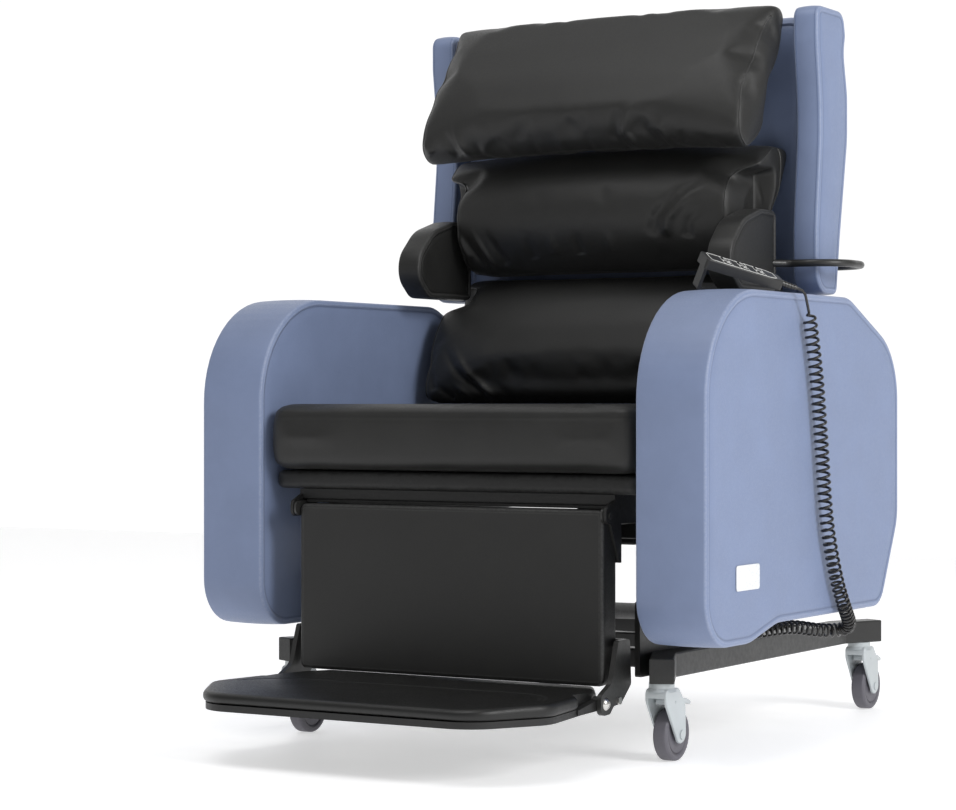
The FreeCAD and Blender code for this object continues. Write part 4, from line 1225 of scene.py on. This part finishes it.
@dataclass
class Handset:
    """Printed keypad lines on the handset: a border, a ring round each key and a mark on it."""

    place: Triple = (0.4403, -0.0880, 0.7178)
    roll: float = math.radians(20.5)
    pitch: float = math.radians(-14.9)
    yaw: float = math.radians(-42.0)
    thick: float = 0.016

    def _placed(self, local: np.ndarray) -> np.ndarray:
        """Handset axes to the chair's: turns about Y, X and Z by roll, pitch and yaw, then a move."""
        (cr, sr), (cp, sp), (cy, sy) = ((math.cos(turn), math.sin(turn))
                                        for turn in (self.roll, self.pitch, self.yaw))
        about_y = np.array([[cr, 0, sr], [0, 1, 0], [-sr, 0, cr]])
        about_x = np.array([[1, 0, 0], [0, cp, -sp], [0, sp, cp]])
        about_z = np.array([[cy, -sy, 0], [sy, cy, 0], [0, 0, 1]])
        return local @ (about_z @ about_x @ about_y).T + self.place + np.array([0, SHIFT, 0])

    def build(self, wardrobe: Wardrobe) -> None:
        """Print the keypad.

        Args:
            wardrobe: the finishes.
        """
        half = [(0.0138, -0.0120, 0.003), (0.0192, -0.0240, 0.006), (0.0200, -0.1020, 0.005),
                (0.0185, -0.1240, 0.004)]
        border = half + [(-x, y, corner) for x, y, corner in half[::-1]]
        top, key_top = self.thick + 0.0001, self.thick + 0.0013
        self._line("handset_border", border, top, 0.00055, "seat", wardrobe)
        centres = [(x, -0.038 - 0.028 * row) for row in range(3) for x in (-0.0105, 0.0105)]
        for number, (x, y) in enumerate(centres, 1):
            ring = [(x + a * 0.0086, y + b * 0.0072, 0.002)
                    for a, b in ((-1, -1), (1, -1), (1, 1), (-1, 1))]
            self._line("handset_ring_%d" % number, ring, top, 0.00045, "seat", wardrobe)
            way = 1 if number % 2 else -1
            arrow = [(x - 0.0042, y - 0.0024 * way, 0.0003), (x + 0.0042, y - 0.0024 * way, 0.0003),
                     (x, y + 0.0030 * way, 0.0003)]
            self._line("key_mark_%d" % number, arrow, key_top, 0.00050, "button_%d" % number, wardrobe)
        LOG.info("handset keypad printed")

    def _line(self, name: str, corners: list[Triple], height: float, radius: float, body: str,
              wardrobe: Wardrobe) -> None:
        """One raised printed line round an outline on the handset's top."""
        flat = outline_of(corners, 72)
        path = np.column_stack([flat, np.full(len(flat), height)])
        line = tube(name, self._placed(path), radius, True, 6)
        wardrobe.dress(line, Slot.PRINT)
        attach(line, body)


# ---------------------------------------------------------------------------------------------- cord
@dataclass
class Cord:
    """The handset's lead: a plain start, a curly stretch that hangs down the arm, a plain end."""

    lead: list[Triple] = field(default_factory=lambda: [
        (0.4631, -0.0369, 0.7173), (0.4715, -0.0283, 0.7142), (0.4715, -0.0195, 0.6995),
        (0.4695, -0.0060, 0.6810)])
    coil: list[Triple] = field(default_factory=lambda: [
        (0.4695, -0.0060, 0.6810), (0.4695, 0.0110, 0.6280), (0.4697, 0.0250, 0.5730),
        (0.4695, 0.0350, 0.5170), (0.4698, 0.0445, 0.4600), (0.4695, 0.0525, 0.4050),
        (0.4696, 0.0630, 0.3500), (0.4695, 0.0820, 0.3000), (0.4694, 0.1070, 0.2500),
        (0.4695, 0.1350, 0.2110), (0.4660, 0.1680, 0.1800), (0.4380, 0.1730, 0.1725),
        (0.4190, 0.1350, 0.1750), (0.4040, 0.0920, 0.1830), (0.3900, 0.0500, 0.1830),
        (0.3770, 0.0080, 0.1800), (0.3640, -0.0300, 0.1840)])
    box: list[Triple] = field(default_factory=lambda: [
        (0.3640, -0.0300, 0.1840), (0.3520, -0.0630, 0.1890), (0.3260, -0.0780, 0.2020),
        (0.3030, -0.0760, 0.2400), (0.3030, -0.0700, 0.2850), (0.2900, -0.0700, 0.3220),
        (0.2580, -0.0700, 0.3380), (0.2250, -0.0700, 0.3380)])
    wire: float = 0.0044
    outside: float = 0.0238
    pitch: float = 0.0119
    per_turn: int = 14
    bunch_at: float = 0.665
    bunch_length: float = 0.045
    bunching: float = 0.42

    def build(self, wardrobe: Wardrobe) -> None:
        """Args:
            wardrobe: the finishes.
        """
        points = np.vstack([self.lead[:-1], self._helix(), self.box[1:]])
        curve = self._spline("handset_cord", points)
        curve.data.bevel_depth = 1.0
        curve.data.bevel_resolution = 2
        curve.data.use_fill_caps = True
        curve.data.resolution_u = 2
        wardrobe.dress(curve, Slot.CORD)
        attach(curve, "seat")
        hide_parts("cord_leads", "cord_coil")
        length = self._length_of(curve)
        LOG.info("cord laid, %.3f m of wire", length)

    def _spline(self, name: str, points: np.ndarray) -> bpy.types.Object:
        """A NURBS curve with these control points, from the first to the last."""
        data = bpy.data.curves.new(name, "CURVE")
        data.dimensions = "3D"
        spline = data.splines.new("NURBS")
        spline.points.add(len(points) - 1)
        spline.points.foreach_set("co", np.column_stack([points, np.ones(len(points))]).ravel())
        spline.points.foreach_set("radius", np.full(len(points), self.wire / 2))
        spline.order_u = 3
        spline.use_endpoint_u = True
        piece = bpy.data.objects.new(name, data)
        bpy.context.scene.collection.objects.link(piece)
        return piece

    def _read(self, curve: bpy.types.Object) -> np.ndarray:
        """The points that Blender gives along a curve's own line."""
        bpy.context.view_layer.update()
        mesh = bpy.data.meshes.new_from_object(curve)
        line = np.empty(len(mesh.vertices) * 3, np.float32)
        mesh.vertices.foreach_get("co", line)
        bpy.data.meshes.remove(mesh)
        return line.reshape(-1, 3).astype(float)

    def _helix(self) -> np.ndarray:
        """The curly stretch about its route.

        Formula: at length s the point is route(s) + r * (cos a * side + sin a * other side), where a
        grows by a full turn each pitch, and r eases from 0 to the coil's radius over the first and
        last turn. The pitch closes up by the share `bunching` above the coil's lowest bend, as
        1 - bunching * exp(-(d / bunch_length)^2) at the length d from there.

        Returns:
            Control points, (n, 3).
        """
        guide = self._spline("guide", np.array(self.coil))
        guide.data.resolution_u = 24
        route = self._read(guide)
        data = guide.data
        bpy.data.objects.remove(guide)
        bpy.data.curves.remove(data)
        run = np.concatenate([[0.0], np.cumsum(np.linalg.norm(np.diff(route, axis=0), axis=1))])
        _, one, two = frames_along(route, False)
        fine = np.linspace(0, run[-1], 4000)
        low = run[-1] * self.bunch_at
        tight = 1 - self.bunching * np.exp(-(((fine - low) / self.bunch_length) ** 2))
        angle = np.concatenate([[0.0], np.cumsum(np.diff(fine) / (self.pitch * tight[1:]))]) * 2 * math.pi
        turns = angle[-1] / (2 * math.pi)
        count = int(round(turns * self.per_turn))
        wanted = np.linspace(0, angle[-1], count)
        at = np.interp(wanted, angle, fine)
        centre, first, second = (read_at(at, run, values) for values in (route, one, two))
        radius = (self.outside - self.wire) / 2
        reach = radius * eased(np.minimum(wanted, angle[-1] - wanted), 0, 2 * math.pi)
        return centre + reach[:, None] * (np.cos(wanted)[:, None] * first
                                          + np.sin(wanted)[:, None] * second)

    def _length_of(self, curve: bpy.types.Object) -> float:
        """The curve's own length, measured along the line it gives."""
        depth, curve.data.bevel_depth = curve.data.bevel_depth, 0.0
        line = self._read(curve)
        curve.data.bevel_depth = depth
        return float(np.linalg.norm(np.diff(line, axis=0), axis=1).sum())


# ------------------------------------------------------------------------------------------- studio
@dataclass
class Studio:
    """Camera, pale floor, soft lights and a room that is white behind the chair."""

    camera_at: Triple = (2.119, -3.722, 0.537)
    camera_turn: Triple = (90.0, 0.0, 31.19)
    lens: float = 97.9
    floor_half: float = 9.0
    floor_front: float = -8.0
    floor_back: float = 5.0
    floor_glow: float = 0.50

    def build(self) -> None:
        """Set up camera, floor, lights and backdrop light."""
        scene = bpy.context.scene
        scene.view_settings.view_transform = "Standard"
        data = bpy.data.cameras.new("camera")
        data.lens, data.sensor_width, data.clip_end = self.lens, 36.0, 60.0
        camera = bpy.data.objects.new("camera", data)
        camera.location = self.camera_at
        camera.rotation_euler = [math.radians(a) for a in self.camera_turn]
        scene.collection.objects.link(camera)
        scene.camera = camera
        self._floor()
        self._light("key", (4.4, -1.0, 2.6), 1.8, 140.0)
        self._light("top", (-0.3, -1.6, 4.4), 2.2, 52.0)
        scene.world = self._surround()
        LOG.info("studio set")

    @staticmethod
    def _surround() -> bpy.types.World:
        """A room that is white behind the chair and dim in front of it.

        Formula: strength is 0.36 where the direction points away from the white wall and 1.05 where
        it points at it, with an even step between dot products of 0.35 and 0.75.
        """
        world = bpy.data.worlds.new("studio")
        world.use_nodes = True
        tree = world.node_tree
        way = tree.nodes.new("ShaderNodeTexCoord").outputs["Generated"]
        dot = tree.nodes.new("ShaderNodeVectorMath")
        dot.operation = "DOT_PRODUCT"
        dot.inputs[1].default_value = (-0.518, 0.855, 0.0)
        tree.links.new(way, dot.inputs[0])
        step = tree.nodes.new("ShaderNodeMapRange")
        for key, value in ((1, 0.35), (2, 0.75), (3, 0.36), (4, 1.05)):
            step.inputs[key].default_value = value
        tree.links.new(dot.outputs["Value"], step.inputs[0])
        back = tree.nodes["Background"]
        back.inputs["Color"].default_value = (1.0, 1.0, 1.0, 1.0)
        tree.links.new(step.outputs[0], back.inputs["Strength"])
        return world

    def _floor(self) -> None:
        """A wide, flat, pale floor that glows a little, as a grid of squares."""
        wide, deep = 60, 120
        u = np.linspace(-1, 1, wide + 1)
        x, s = np.meshgrid(u * self.floor_half, np.linspace(0, 1, deep + 1))
        y = self.floor_front + s * (self.floor_back - self.floor_front)
        grid = np.stack([x, y, np.zeros_like(x)], -1).reshape(-1, 3)
        r, c = np.meshgrid(np.arange(deep), np.arange(wide), indexing="ij")
        first = r * (wide + 1) + c
        quads = np.stack([first, first + 1, first + wide + 2, first + wide + 1], -1).reshape(-1, 4)
        mesh = bpy.data.meshes.new("floor")
        mesh.from_pydata(grid.tolist(), [], quads.tolist())
        floor = bpy.data.objects.new("floor", mesh)
        bpy.context.scene.collection.objects.link(floor)
        paint = Finish("floor_paint", (225, 225, 226), Grain.PEEL, 0.02, 0.00005, 0.6, mottle=0.01).make()
        shader = paint.node_tree.nodes["Principled BSDF"]
        shader.inputs["Emission Color"].default_value = (1.0, 1.0, 1.0, 1.0)
        shader.inputs["Emission Strength"].default_value = self.floor_glow
        mesh.materials.append(paint)

    def _light(self, name: str, place: Triple, size: float, power: float) -> None:
        """A square soft light aimed at the chair."""
        data = bpy.data.lights.new(name, "AREA")
        data.size, data.energy = size, power
        light = bpy.data.objects.new(name, data)
        light.location = place
        aim = Vector((0.0, 0.0, 0.6)) - Vector(place)
        light.rotation_euler = aim.to_track_quat("-Z", "Y").to_euler()
        bpy.context.scene.collection.objects.link(light)


def main() -> None:
    """Build the studio and every sub-assembly in order."""
    logging.basicConfig(level=logging.INFO, format="%(name)s: %(message)s")
    wardrobe, stuffing = Wardrobe(), Stuffing()
    Studio().build()
    Cord().build(wardrobe)
    back = Backrest()
    back.build(wardrobe, stuffing)
    SeatUnit().build(wardrobe, stuffing)
    LegRest().build(wardrobe)
    stuffing.run()
    LOG.info("cushions stuffed")
    back.finish(wardrobe)
    Castors().build(wardrobe)
    Handset().build(wardrobe)
    wardrobe.dress_frame()
    bpy.context.view_layer.update()


if __name__ == "__main__":
    main()
